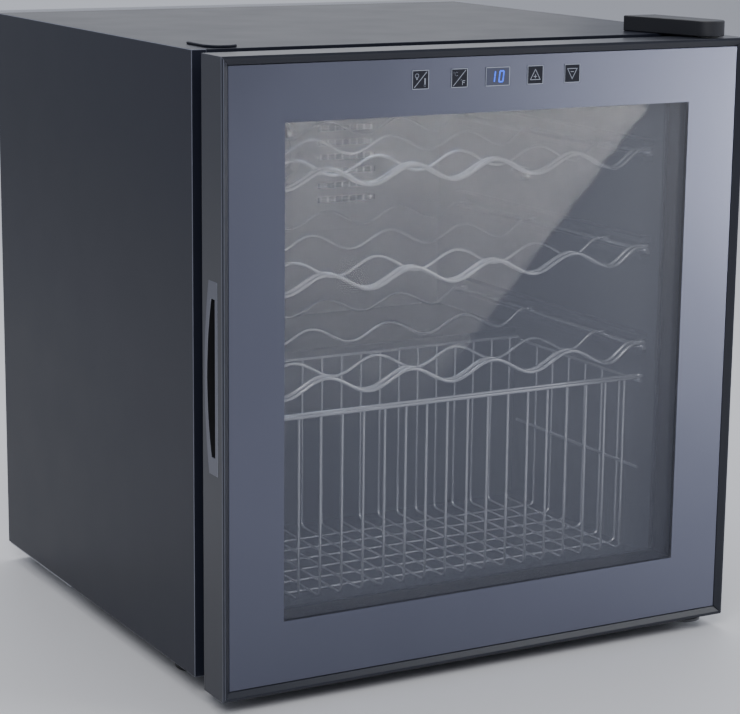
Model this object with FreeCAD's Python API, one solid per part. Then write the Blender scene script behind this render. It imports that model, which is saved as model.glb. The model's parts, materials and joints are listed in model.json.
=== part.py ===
"""Compressor wine cooler with a framed glass door, three wave-wire shelves and a wire basket.

Units are millimetres.  +Z is up, the door faces -Y and its hinge is on the +X side.
The origin is on the floor, under the middle of the overall box.
"""
import FreeCAD, Part
import math
import os

V = FreeCAD.Vector
X_AXIS = V(1, 0, 0)
Y_AXIS = V(0, 1, 0)
Z_AXIS = V(0, 0, 1)

# ---------------------------------------------------------------- overall sizes
WIDTH = 460.0
DOOR_HEIGHT = 478.0
DOOR_THICKNESS = 36.0
SEAL_GAP = 13.5            # door back to cabinet front
CABINET_DEPTH = 401.5
REAR_STAND_OFF = 30.0      # wall spacers behind the back panel
DOOR_FLOOR_GAP = 12.0
CABINET_FLOOR_GAP = 16.5
TOP_STEP = 1.0             # cabinet's top above the door's top

# ---------------------------------------------------------------- cabinet walls
SHEET = 1.0
FLANGE = 12.0              # folded front edge of the steel panels
LINER = 1.2
SIDE_WALL = 40.0
TOP_WALL = 30.0
BOTTOM_WALL = 38.0
REAR_WALL = 45.0
MACHINE_DEPTH = 150.0      # compressor space, measured from the back
MACHINE_HEIGHT = 158.0     # compressor space, above the cabinet's underside
STEP_WALL = 35.0           # insulation over and in front of the compressor space

# ---------------------------------------------------------------- door
LIP = 6.5                  # visible frame around the outer glass
LIP_FLAT = 2.0             # front land before the lip's bevel
GLASS_SINK = 3.0           # outer glass behind the frame's front
PANE = 4.0
PANE_FIT = 0.3
TRIM = 3.0
TRIM_INSET = 2.0
WINDOW_SIDE = 52.0
WINDOW_TOP = 49.0
WINDOW_BOTTOM = 55.0
SPACER = 7.7
SEAL_WIDTH = 11.5
SEAL_LAP = 0.5             # seal's inner edge outside the cabinet's opening
SEAL_CLEAR = 0.3

# ---------------------------------------------------------------- grip in the door's free side
GRIP_LENGTH = 140.0
GRIP_FRONT = 8.5           # its straight edge, behind the door's front
GRIP_END = 12.0            # its width at the blunt ends
GRIP_BULGE = 19.5          # its width at the middle, where the rear edge bows back
GRIP_RISE = 5.0            # above the door's middle
GRIP_RIM = 3.0
GRIP_DEPTH = 24.0
GRIP_FLOOR = 2.0
GRIP_PROUD = 0.2
GRIP_FIT = 0.15

# ---------------------------------------------------------------- hinges
PIVOT_SIDE = 28.0          # hinge axis from the door's side
PIVOT_FRONT = 14.0         # hinge axis from the door's front
PIN_RADIUS = 4.0
PIN_FIT = 0.05
PIN_DEPTH = 11.5
BUSH_RADIUS = 6.0
BUSH_FIT = 0.1
BUSH_FLANGE = 0.7
BUSH_FLANGE_RADIUS = 7.5
BRACKET = 2.5
COVER_HEIGHT = 12.5
COVER_WALL = 2.0
COVER_NOSE = 13.0
COVER_LENGTH = 70.0
COVER_TAIL = 31.0
COVER_SLANT = 17.0         # how far the tail is set towards the door's middle
SCREW_RADIUS = 2.5

# ---------------------------------------------------------------- shelves
BOTTLE_PITCH = 75.0
WAVE_HEIGHT = 13.5
SHELF_COUNT = 3
TOP_BAY = 78.0             # ceiling to the top shelf's valleys
STEP_BAY = 12.5            # lowest shelf's valleys above the step over the compressor
SHELF_FRONT = 60.0         # front rail, behind the door's front
MID_WAVES = (58.0, 170.0, 285.0)
RAIL_WIRE = 1.5
WAVE_WIRE = 1.25
RAIL_SPREAD = 7.0          # between the two wires of a front rail
ROD_RADIUS = 2.0
ROD_INSET = 7.0            # rod centre from the liner wall
RAIL_INSET = 2.5           # rail end from the liner wall
END_RISE = 26.0            # last valley to the flat end
WIRE_SEAT = 0.05
RIB_WIDTH = 10.0
RIB_HEIGHT = 5.0
RUN_CLEAR = 0.3

# ---------------------------------------------------------------- basket
BASKET_WIRE = 1.2
BASKET_DEPTH = 185.0
BASKET_DROP = 15.0         # basket's rim below the lowest shelf's valleys
BASKET_PITCH = 19.0
BASKET_MARGIN = 15.0       # outermost bar from the liner wall, at least
BASKET_CROSS = 6

# ---------------------------------------------------------------- machine parts
TRAY_LIP = 6.0
GROMMET_RADIUS = 9.0
GROMMET_HEIGHT = 11.5
GROMMET_BORE = 3.3
BOLT_RADIUS = 3.0
COMPRESSOR_RADIUS = 52.0
COMPRESSOR_HEIGHT = 118.0
PIPE_RADIUS = 2.4
COIL_RUNS = 8
COIL_PITCH = 28.0
COIL_OFFSET = 14.0
COIL_WIRE = 0.9
COIL_BARS = 24

# ---------------------------------------------------------------- fan and lamp
FAN_FRAME = 72.0
FAN_THICKNESS = 15.0
FAN_BORE = 33.0
FAN_TIP = 31.5
FAN_HUB = 12.0
FAN_BLADES = 7
FAN_SHAFT = 1.5
FAN_FIT = 0.05
DUCT_DEPTH = 24.0
DUCT_WIDTH = 250.0
DUCT_HEIGHT = 150.0
LAMP_LENGTH = 130.0
LAMP_WIDTH = 20.0
LAMP_HEIGHT = 6.0

# ---------------------------------------------------------------- feet
FOOT_RADIUS = 16.0
FOOT_HEIGHT = 7.0
STUD_RADIUS = 4.0
STUD_FIT = 0.05
SOCKET_RADIUS = 8.0
SOCKET_HEIGHT = 22.0
FOOT_SIDE = 30.0
FOOT_BACK = 65.0           # front feet behind the cabinet's front
REAR_FOOT_RADIUS = 11.0
REAR_FOOT_BACK = 16.0

# ---------------------------------------------------------------- touch controls
KEY_SIZE = 14.0
KEY_PITCH = 33.4
KEY_DROP = 22.5            # below the door's top edge
KEY_SKIN = 0.3
DISPLAY_WIDTH = 21.0

# ---------------------------------------------------------------- places worked out from the sizes
HALF = WIDTH / 2
DEPTH = DOOR_THICKNESS + SEAL_GAP + CABINET_DEPTH + REAR_STAND_OFF
FRONT = -DEPTH / 2
DOOR_BACK = FRONT + DOOR_THICKNESS
CAB_FRONT = DOOR_BACK + SEAL_GAP
CAB_BACK = CAB_FRONT + CABINET_DEPTH
DOOR_LOW = DOOR_FLOOR_GAP
DOOR_TOP = DOOR_LOW + DOOR_HEIGHT
CAB_LOW = CABINET_FLOOR_GAP
CAB_TOP = DOOR_TOP + TOP_STEP
INNER = HALF - SIDE_WALL
INNER_LOW = CAB_LOW + BOTTOM_WALL
INNER_TOP = CAB_TOP - TOP_WALL
INNER_BACK = CAB_BACK - REAR_WALL
MACHINE_FRONT = CAB_BACK - MACHINE_DEPTH
MACHINE_TOP = CAB_LOW + MACHINE_HEIGHT
STEP_FRONT = MACHINE_FRONT - STEP_WALL
STEP_TOP = MACHINE_TOP + STEP_WALL
PIVOT_X = HALF - PIVOT_SIDE
PIVOT_Y = FRONT + PIVOT_FRONT
PANE_BACK = DOOR_THICKNESS - TRIM          # inner pane's rear face, from the door's front
SHELF_Y = FRONT + SHELF_FRONT
BOTTLES = int(2 * INNER // BOTTLE_PITCH)
LOW_VALLEY = STEP_TOP + STEP_BAY
SHELF_PITCH = (INNER_TOP - TOP_BAY - LOW_VALLEY) / (SHELF_COUNT - 1)
SHELF_VALLEYS = [INNER_TOP - TOP_BAY - i * SHELF_PITCH for i in range(SHELF_COUNT)]
BASKET_TOP = LOW_VALLEY - BASKET_DROP
BASKET_BARS = 2 * int((INNER - BASKET_MARGIN) // BASKET_PITCH) + 1


# ---------------------------------------------------------------- small helpers
def box(x0, x1, y0, y1, z0, z1):
    """Block between two opposite corners."""
    return Part.makeBox(x1 - x0, y1 - y0, z1 - z0, V(x0, y0, z0))


def rod(start, end, radius):
    """Round bar between two points."""
    run = end - start
    return Part.makeCylinder(radius, run.Length, start, run)


def ring(centre, axis, outer, inner, length):
    """Tube with its first face at centre."""
    solid = Part.makeCylinder(outer, length, centre, axis)
    return solid.cut(Part.makeCylinder(inner, length, centre, axis))


def prism(points, direction):
    """Solid swept from a closed flat outline of points."""
    outline = Part.makePolygon(points + [points[0]])
    return Part.Face(outline).extrude(direction)


def fuse(solids):
    """One shape from overlapping or face-sharing solids."""
    return solids[0].multiFuse(solids[1:]).removeSplitter()


def save(name, *solids):
    """Write one named piece, made of one or more separate solids."""
    shape = solids[0] if len(solids) == 1 else Part.makeCompound(list(solids))
    shape.exportStep("parts/" + name + ".step")


def arc_between(start, start_direction, end):
    """Arc from start to end that leaves start along start_direction."""
    chord = end - start
    normal = start_direction.cross(chord).normalize()
    inward = normal.cross(start_direction).normalize()
    radius = chord.dot(chord) / (2 * chord.dot(inward))
    centre = start + inward * radius
    middle = (start + end) * 0.5 - centre
    through = centre + middle.normalize() * abs(radius)
    return Part.Arc(start, through, end).toShape()


def sweep(edges, start, direction, radius):
    """Round wire along a smooth path of edges."""
    circle = Part.makeCircle(radius, start, direction)
    return Part.Wire(edges).makePipe(Part.Face(Part.Wire([circle])))


def bent_tube(points, radius, bend):
    """Round tube through straight runs joined by arcs of one bend radius."""
    edges = []
    last = points[0]
    for before, corner, after in zip(points, points[1:], points[2:]):
        into = (corner - before).normalize()
        out = (after - corner).normalize()
        setback = bend * math.tan(into.getAngle(out) / 2)
        enter = corner - into * setback
        leave = corner + out * setback
        edges.append(Part.makeLine(last, enter))
        edges.append(arc_between(enter, into, leave))
        last = leave
    edges.append(Part.makeLine(last, points[-1]))
    return sweep(edges, points[0], points[1] - points[0], radius)


# ---------------------------------------------------------------- cabinet
def cabinet_panels():
    """Steel side, top, back and bottom panels, each with its folded front edge."""
    back = CAB_BACK - SHEET
    for side, name in ((-1, "left"), (1, "right")):
        outer = side * HALF
        sheet = box(min(outer, outer - side * SHEET), max(outer, outer - side * SHEET),
                    CAB_FRONT, CAB_BACK, CAB_LOW, CAB_TOP)
        inner = outer - side * FLANGE
        fold = box(min(outer, inner), max(outer, inner),
                   CAB_FRONT, CAB_FRONT + SHEET, CAB_LOW, CAB_TOP)
        save("side_panel_" + name, fuse([sheet, fold]))
    span = HALF - SHEET
    top = box(-span, span, CAB_FRONT + SHEET, CAB_BACK, CAB_TOP - SHEET, CAB_TOP)
    top_fold = box(-HALF + FLANGE, HALF - FLANGE, CAB_FRONT, CAB_FRONT + SHEET, CAB_TOP - FLANGE, CAB_TOP)
    save("top_panel", fuse([top, top_fold]))
    base = box(-span, span, CAB_FRONT + SHEET, MACHINE_FRONT, CAB_LOW, CAB_LOW + SHEET)
    base_fold = box(-HALF + FLANGE, HALF - FLANGE, CAB_FRONT, CAB_FRONT + SHEET, CAB_LOW, CAB_LOW + FLANGE)
    base = fuse([base, base_fold])
    for x in foot_places():
        base = base.cut(rod(V(x, foot_y(), CAB_LOW), V(x, foot_y(), CAB_LOW + SHEET), STUD_RADIUS + 0.5))
    save("bottom_panel", base)
    save("back_panel", box(-span, span, back, CAB_BACK, MACHINE_TOP, CAB_TOP - SHEET))
    step = box(-span, span, MACHINE_FRONT - SHEET, MACHINE_FRONT, CAB_LOW + SHEET, MACHINE_TOP)
    ceiling = box(-span, span, MACHINE_FRONT - SHEET, back, MACHINE_TOP, MACHINE_TOP + SHEET)
    save("machine_bulkhead", fuse([step, ceiling]))


def foot_places():
    """X places of the two front feet."""
    return (-HALF + FOOT_SIDE, HALF - FOOT_SIDE)


def foot_y():
    """Y place of the front feet."""
    return CAB_FRONT + FOOT_BACK


def cavity(grow):
    """Stepped inside of the cabinet, grown outwards by one wall."""
    room = box(-INNER - grow, INNER + grow, CAB_FRONT, INNER_BACK + grow, INNER_LOW - grow, INNER_TOP + grow)
    step = box(-HALF, HALF, STEP_FRONT + grow, CAB_BACK, CAB_LOW, STEP_TOP - grow)
    return room.cut(step)


def insulation():
    """Foam between the panels and the liner, with the front feet's sockets left out."""
    span = HALF - SHEET
    foam = box(-span, span, CAB_FRONT + SHEET, CAB_BACK - SHEET, CAB_LOW + SHEET, CAB_TOP - SHEET)
    machine = box(-HALF, HALF, MACHINE_FRONT - SHEET, CAB_BACK, CAB_LOW, MACHINE_TOP + SHEET)
    foam = foam.cut(machine).cut(cavity(LINER))
    for x in foot_places():
        low = CAB_LOW + SHEET
        foam = foam.cut(rod(V(x, foot_y(), low), V(x, foot_y(), low + SOCKET_HEIGHT), SOCKET_RADIUS + BUSH_FIT))
    save("foam_insulation", foam)


def liner():
    """Moulded plastic inside, with a flange that meets the steel at the front."""
    shell = cavity(LINER).cut(cavity(0))
    face = box(-HALF + FLANGE, HALF - FLANGE, CAB_FRONT, CAB_FRONT + SHEET, CAB_LOW + FLANGE, CAB_TOP - FLANGE)
    save("inner_liner", fuse([shell, face.cut(cavity(0))]))


def shelf_ribs():
    """Ledges on the liner's sides: each shelf rod runs between a lower and an upper one."""
    low_ribs = []
    top_ribs = []
    front = SHELF_Y + 4.0
    back = SHELF_Y + MID_WAVES[-1] + 15.0
    for valley in SHELF_VALLEYS:
        flat = valley + WAVE_HEIGHT
        under = rod_height(valley) - ROD_RADIUS - RUN_CLEAR
        over = flat + RAIL_WIRE + 1.0
        for side in (-1, 1):
            wall = side * INNER
            edge = side * (INNER - RIB_WIDTH)
            low_ribs.append(box(min(wall, edge), max(wall, edge), front, back, under - RIB_HEIGHT, under))
            top_ribs.append(box(min(wall, edge), max(wall, edge), front, back, over, over + RIB_HEIGHT))
    save("shelf_ribs", *low_ribs, *top_ribs)


# ---------------------------------------------------------------- door
def door_slab(inset_side, inset_top, inset_bottom, front, back):
    """Block across the door, inset from its edges, between two depths from its front."""
    return box(-HALF + inset_side, HALF - inset_side, FRONT + front, FRONT + back,
               DOOR_LOW + inset_bottom, DOOR_TOP - inset_top)


def mitre(side):
    """Trapezoid prism that holds one side of the door frame, cut at 45 degrees at its ends."""
    reach = HALF - 1.0
    corners = {"left": (-1, 0), "right": (1, 0), "top": (0, 1), "bottom": (0, -1)}
    sx, sz = corners[side]
    if sx:
        edge = sx * HALF
        flat = [V(edge, FRONT, DOOR_LOW), V(edge - sx * reach, FRONT, DOOR_LOW + reach),
                V(edge - sx * reach, FRONT, DOOR_TOP - reach), V(edge, FRONT, DOOR_TOP)]
    else:
        edge = DOOR_TOP if sz > 0 else DOOR_LOW
        flat = [V(-HALF, FRONT, edge), V(-HALF + reach, FRONT, edge - sz * reach),
                V(HALF - reach, FRONT, edge - sz * reach), V(HALF, FRONT, edge)]
    return prism(flat, V(0, DOOR_THICKNESS, 0))


def bevel_cut():
    """Shallow pyramid frustum that bevels the frame's lip down to the outer glass."""
    def outline(inset, depth):
        """Rectangle wire, inset from the door's edges, at one depth from its front."""
        x = HALF - inset
        low = DOOR_LOW + inset
        top = DOOR_TOP - inset
        y = FRONT + depth
        return Part.makePolygon([V(-x, y, low), V(x, y, low), V(x, y, top), V(-x, y, top), V(-x, y, low)])
    return Part.makeLoft([outline(LIP_FLAT, 0), outline(LIP, GLASS_SINK)], True, True)


def frame_ring():
    """Whole door frame before its corners are mitred."""
    outside = door_slab(0, 0, 0, 0, PANE_BACK)
    seat = door_slab(LIP, LIP, LIP, GLASS_SINK, GLASS_SINK + PANE)
    inside = door_slab(WINDOW_SIDE - SPACER - PANE_FIT, WINDOW_TOP - SPACER - PANE_FIT,
                       WINDOW_BOTTOM - SPACER - PANE_FIT, GLASS_SINK + PANE, PANE_BACK)
    return outside.cut(bevel_cut()).cut(seat).cut(inside)


def grip_outline(shrink, x, depth, length_cut):
    """Blunt lens with a straight front edge and a bowed rear edge, extruded along X from x."""
    y = FRONT + GRIP_FRONT + shrink
    end = FRONT + GRIP_FRONT + GRIP_END - shrink
    half = GRIP_LENGTH / 2 - length_cut
    z = DOOR_LOW + DOOR_HEIGHT / 2 + GRIP_RISE
    low, low_back = V(x, y, z - half), V(x, end, z - half)
    top, top_back = V(x, y, z + half), V(x, end, z + half)
    bow = V(x, FRONT + GRIP_FRONT + GRIP_BULGE - shrink, z)
    edges = [Part.makeLine(low, top), Part.makeLine(top, top_back),
             Part.Arc(top_back, bow, low_back).toShape(), Part.makeLine(low_back, low)]
    return Part.Face(Part.Wire(edges)).extrude(V(depth, 0, 0))


def door_frame():
    """Four mitred frame pieces, with the grip's pocket, the hinge bushes' seats and the board's pocket."""
    whole = frame_ring()
    whole = whole.cut(grip_outline(0, -HALF, GRIP_DEPTH, 0))
    for low, high in ((DOOR_LOW, DOOR_LOW + PIN_DEPTH + 1), (DOOR_TOP - PIN_DEPTH - 1, DOOR_TOP)):
        whole = whole.cut(rod(V(PIVOT_X, PIVOT_Y, low), V(PIVOT_X, PIVOT_Y, high), BUSH_RADIUS + BUSH_FIT))
    whole = whole.cut(board_pocket())
    for side, name in (("left", "door_stile_left"), ("right", "door_stile_right"),
                       ("top", "door_rail_top"), ("bottom", "door_rail_bottom")):
        save(name, whole.common(mitre(side)))


def board_pocket():
    """Room for the touch board behind the glass in the top rail."""
    half = 2 * KEY_PITCH + KEY_SIZE
    z = DOOR_TOP - KEY_DROP
    depth = FRONT + GLASS_SINK + PANE
    return box(-half - 2, half + 2, depth, depth + 8.0, z - 11, z + 11)


def grip():
    """Finger pocket pressed into the door's free side, with its rim a little proud."""
    rim = GRIP_FIT
    body = grip_outline(rim, -HALF + GRIP_FIT, GRIP_DEPTH - 2 * GRIP_FIT, 4 * rim)
    lip = grip_outline(-1.2, -HALF - GRIP_PROUD, GRIP_PROUD - 0.02, -2.0)
    neck = grip_outline(rim, -HALF - GRIP_PROUD, GRIP_PROUD + 1.0, 4 * rim)
    hollow = grip_outline(GRIP_RIM, -HALF - GRIP_PROUD, GRIP_DEPTH - GRIP_FLOOR, 11.0)
    save("grip_pocket", fuse([body, neck, lip]).cut(hollow))


def door_glass():
    """Outer and inner panes with the spacer bars between them."""
    save("outer_glass", door_slab(LIP + PANE_FIT, LIP + PANE_FIT, LIP + PANE_FIT, GLASS_SINK, GLASS_SINK + PANE))
    side = WINDOW_SIDE - SPACER
    top = WINDOW_TOP - SPACER
    bottom = WINDOW_BOTTOM - SPACER
    save("inner_glass", door_slab(side, top, bottom, PANE_BACK - PANE, PANE_BACK))
    bars = door_slab(side, top, bottom, GLASS_SINK + PANE, PANE_BACK - PANE)
    bars = bars.cut(door_slab(WINDOW_SIDE, WINDOW_TOP, WINDOW_BOTTOM, GLASS_SINK + PANE, PANE_BACK - PANE))
    save("glass_spacer", bars)


def door_trim():
    """Plastic inner frame that holds the inner pane and carries the seal."""
    plate = door_slab(TRIM_INSET, TRIM_INSET, TRIM_INSET, PANE_BACK, DOOR_THICKNESS)
    window = door_slab(WINDOW_SIDE, WINDOW_TOP, WINDOW_BOTTOM, PANE_BACK, DOOR_THICKNESS)
    save("door_inner_trim", plate.cut(window))


def door_seal():
    """Soft seal in four mitred strips around the cabinet's opening."""
    x = INNER + SEAL_LAP
    low = INNER_LOW - SEAL_LAP
    top = INNER_TOP + SEAL_LAP
    depth = V(0, SEAL_GAP - SEAL_CLEAR, 0)
    w = SEAL_WIDTH
    inner = [V(-x, DOOR_BACK, low), V(x, DOOR_BACK, low), V(x, DOOR_BACK, top), V(-x, DOOR_BACK, top)]
    outer = [V(-x - w, DOOR_BACK, low - w), V(x + w, DOOR_BACK, low - w),
             V(x + w, DOOR_BACK, top + w), V(-x - w, DOOR_BACK, top + w)]
    strips = []
    for i in range(4):
        j = (i + 1) % 4
        strips.append(prism([outer[i], outer[j], inner[j], inner[i]], depth))
    save("door_seal", *strips)


def touch_controls():
    """Touch board with its display, and the printed key and display fields on the outer glass."""
    z = DOOR_TOP - KEY_DROP
    back = FRONT + GLASS_SINK + PANE
    half = 2 * KEY_PITCH + KEY_SIZE
    board = box(-half, half, back, back + 1.6, z - 9, z + 9)
    save("touch_board", board, box(-12, 12, back + 1.6, back + 6.6, z - 7, z + 7))
    face = FRONT + GLASS_SINK
    keys = []
    for place in (-2, -1, 1, 2):
        x = place * KEY_PITCH
        half = KEY_SIZE / 2
        keys.append(box(x - half, x + half, face - KEY_SKIN, face, z - half, z + half))
    half = DISPLAY_WIDTH / 2
    keys.append(box(-half, half, face - KEY_SKIN, face, z - KEY_SIZE / 2, z + KEY_SIZE / 2))
    save("touch_fields", *keys)


# ---------------------------------------------------------------- hinges
def hinge_plan(shrink):
    """Slanted bar with a round nose over the pivot, as a face at the cabinet's top."""
    nose = COVER_NOSE - shrink
    z = CAB_TOP
    tail = PIVOT_Y + COVER_LENGTH - shrink
    left = PIVOT_X - COVER_SLANT - COVER_TAIL / 2 + shrink
    right = PIVOT_X - COVER_SLANT + COVER_TAIL / 2 - shrink
    points = [V(PIVOT_X - nose, PIVOT_Y, z), V(left, tail, z), V(right, tail, z), V(PIVOT_X + nose, PIVOT_Y, z)]
    edges = [Part.makeLine(a, b) for a, b in zip(points, points[1:])]
    edges.append(Part.Arc(points[-1], V(PIVOT_X, PIVOT_Y - nose, z), points[0]).toShape())
    return Part.Face(Part.Wire(edges))


def screw_places():
    """Places of the two screws in the top hinge bracket."""
    x = PIVOT_X - COVER_SLANT
    return (V(x + 4, CAB_FRONT + 8, CAB_TOP), V(x, CAB_FRONT + 22, CAB_TOP))


def top_hinge():
    """Cover of the top hinge, and its bracket, pin and screws as solids."""
    plate = hinge_plan(COVER_WALL + 0.5).extrude(V(0, 0, BRACKET))
    hole_top = V(0, 0, BRACKET)
    centre = V(PIVOT_X, PIVOT_Y, CAB_TOP)
    plate = plate.cut(rod(centre, centre + hole_top, PIN_RADIUS + BUSH_FIT))
    screws = []
    for place in screw_places():
        plate = plate.cut(rod(place, place + hole_top, SCREW_RADIUS + BUSH_FIT))
        head = rod(place + hole_top, place + V(0, 0, BRACKET + 2.0), SCREW_RADIUS * 1.8)
        screws.append(fuse([rod(place, place + hole_top, SCREW_RADIUS), head]))
    pin = rod(V(PIVOT_X, PIVOT_Y, DOOR_TOP - PIN_DEPTH), centre + hole_top, PIN_RADIUS)
    head = rod(centre + hole_top, centre + V(0, 0, BRACKET + 2.0), PIN_RADIUS * 1.5)
    cover = hinge_plan(0).extrude(V(0, 0, COVER_HEIGHT))
    room = hinge_plan(COVER_WALL).extrude(V(0, 0, COVER_HEIGHT - COVER_WALL))
    save("top_hinge_cover", cover.cut(room))
    return plate, fuse([pin, head]), screws


def bushes():
    """Plastic bushes in the door's top and bottom edges, on the hinge axis."""
    depth = PIN_DEPTH + 1
    sleeves = []
    for low, high, way in ((DOOR_TOP - depth, DOOR_TOP, 1), (DOOR_LOW, DOOR_LOW + depth, -1)):
        sleeve = rod(V(PIVOT_X, PIVOT_Y, low), V(PIVOT_X, PIVOT_Y, high), BUSH_RADIUS)
        edge = high if way > 0 else low - BUSH_FLANGE
        flange = rod(V(PIVOT_X, PIVOT_Y, edge), V(PIVOT_X, PIVOT_Y, edge + BUSH_FLANGE), BUSH_FLANGE_RADIUS)
        bore_low = low - BUSH_FLANGE if way < 0 else low
        bore_high = high + BUSH_FLANGE if way > 0 else high
        bore = rod(V(PIVOT_X, PIVOT_Y, bore_low), V(PIVOT_X, PIVOT_Y, bore_high), PIN_RADIUS + PIN_FIT)
        sleeves.append(fuse([sleeve, flange]).cut(bore))
    save("hinge_bushes", *sleeves)


def lower_hinge():
    """Cranked bracket under the cabinet, the pin that stands up into the door, and the screws."""
    half = COVER_NOSE
    tongue_top = DOOR_LOW - BUSH_FLANGE - RUN_CLEAR
    tongue_low = tongue_top - BRACKET
    x0 = PIVOT_X - half
    x1 = PIVOT_X + half
    crank = CAB_FRONT + BRACKET
    tongue = box(x0, x1, PIVOT_Y, crank, tongue_low, tongue_top)
    nose = rod(V(PIVOT_X, PIVOT_Y, tongue_low), V(PIVOT_X, PIVOT_Y, tongue_top), half)
    riser = box(x0, x1, CAB_FRONT, crank, tongue_low, CAB_LOW)
    plate = box(x0, x1, CAB_FRONT, CAB_FRONT + 40.0, CAB_LOW - BRACKET, CAB_LOW)
    bracket = fuse([tongue, nose, riser, plate])
    bracket = bracket.cut(rod(V(PIVOT_X, PIVOT_Y, tongue_low), V(PIVOT_X, PIVOT_Y, tongue_top),
                              PIN_RADIUS + BUSH_FIT))
    screws = []
    for step in (14.0, 30.0):
        place = V(PIVOT_X, CAB_FRONT + step, CAB_LOW - BRACKET)
        bracket = bracket.cut(rod(place, place + V(0, 0, BRACKET), SCREW_RADIUS + BUSH_FIT))
        shank = rod(place, place + V(0, 0, BRACKET), SCREW_RADIUS)
        head = rod(place - V(0, 0, 2.0), place, SCREW_RADIUS * 1.8)
        screws.append(fuse([shank, head]))
    foot = rod(V(PIVOT_X, PIVOT_Y, tongue_low - 1.5), V(PIVOT_X, PIVOT_Y, tongue_low), PIN_RADIUS * 1.5)
    pin = rod(V(PIVOT_X, PIVOT_Y, tongue_low), V(PIVOT_X, PIVOT_Y, DOOR_LOW + PIN_DEPTH), PIN_RADIUS)
    return bracket, fuse([foot, pin]), screws


def hinges():
    """Both hinges: brackets, pins and screws, grouped by kind."""
    top_plate, top_pin, top_screws = top_hinge()
    low_plate, low_pin, low_screws = lower_hinge()
    save("hinge_brackets", top_plate, low_plate)
    save("hinge_pins", top_pin, low_pin)
    save("hinge_screws", *top_screws, *low_screws)


def spare_cap():
    """Flat oval cap over the spare hinge holes at the cabinet's other front corner."""
    x = -PIVOT_X + 2.0
    y0 = CAB_FRONT + COVER_NOSE + 4.0
    y1 = y0 + 26.0
    ends = [rod(V(x, y, CAB_TOP), V(x, y, CAB_TOP + 2.0), COVER_NOSE) for y in (y0, y1)]
    middle = box(x - COVER_NOSE, x + COVER_NOSE, y0, y1, CAB_TOP, CAB_TOP + 2.0)
    save("spare_hinge_cap", fuse(ends + [middle]))


# ---------------------------------------------------------------- shelves
def rod_height(valley):
    """Height of a shelf's side rods under the flat ends of its waves."""
    return valley + WAVE_HEIGHT - RAIL_WIRE - ROD_RADIUS - WIRE_SEAT


def wave_wire(y, valley, radius, reach):
    """Wave of equal arcs with one valley for each bottle and a flat end at each side."""
    half_up = WAVE_HEIGHT / 2
    quarter = BOTTLE_PITCH / 4
    last = (BOTTLES - 1) / 2 * BOTTLE_PITCH
    flat = valley + WAVE_HEIGHT
    heights = []
    for i in range(BOTTLES):
        centre = -last + i * BOTTLE_PITCH
        if i:
            heights += [(centre - 2 * quarter, flat), (centre - quarter, valley + half_up)]
        heights.append((centre, valley))
        if i < BOTTLES - 1:
            heights.append((centre + quarter, valley + half_up))
    start = [(-reach, flat), (-last - END_RISE, flat), (-last - END_RISE / 2, valley + half_up)]
    finish = [(-x, z) for x, z in reversed(start)]
    points = [V(x, y, z) for x, z in start + heights + finish]
    direction = X_AXIS
    edges = [Part.makeLine(points[0], points[1])]
    for a, b in zip(points[1:-2], points[2:-1]):
        edge = arc_between(a, direction, b)
        edges.append(edge)
        direction = edge.tangentAt(edge.LastParameter)
    edges.append(Part.makeLine(points[-2], points[-1]))
    return sweep(edges, points[0], X_AXIS, radius)


def u_bend(x, y, z, spread, radius, side):
    """Half ring that joins the two wires of a rail at one end."""
    turn = Part.makeTorus(spread / 2, radius, V(0, 0, 0), Z_AXIS, -180, 180, 180)
    turn.rotate(V(0, 0, 0), Z_AXIS, -90 if side > 0 else 90)
    turn.translate(V(x, y, z))
    return turn


def shelf(index, valley):
    """Shelf: a double front rail, three waves behind it and two side rods."""
    flat = valley + WAVE_HEIGHT
    reach = INNER - RAIL_INSET - RAIL_SPREAD / 2 - RAIL_WIRE
    pair = [wave_wire(SHELF_Y + offset, valley, RAIL_WIRE, reach) for offset in (0, RAIL_SPREAD)]
    middle = SHELF_Y + RAIL_SPREAD / 2
    bends = [u_bend(side * reach, middle, flat, RAIL_SPREAD, RAIL_WIRE, side) for side in (-1, 1)]
    pieces = [fuse(pair + bends)]
    seat = RAIL_WIRE - WAVE_WIRE
    for offset in MID_WAVES:
        pieces.append(wave_wire(SHELF_Y + offset, valley - seat, WAVE_WIRE, INNER - RAIL_INSET - 1.0))
    z = rod_height(valley)
    for side in (-1, 1):
        x = side * (INNER - ROD_INSET)
        pieces.append(rod(V(x, SHELF_Y - 1.0, z), V(x, SHELF_Y + MID_WAVES[-1] + 3.0, z), ROD_RADIUS))
    save("shelf_%d" % index, *pieces)


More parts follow.
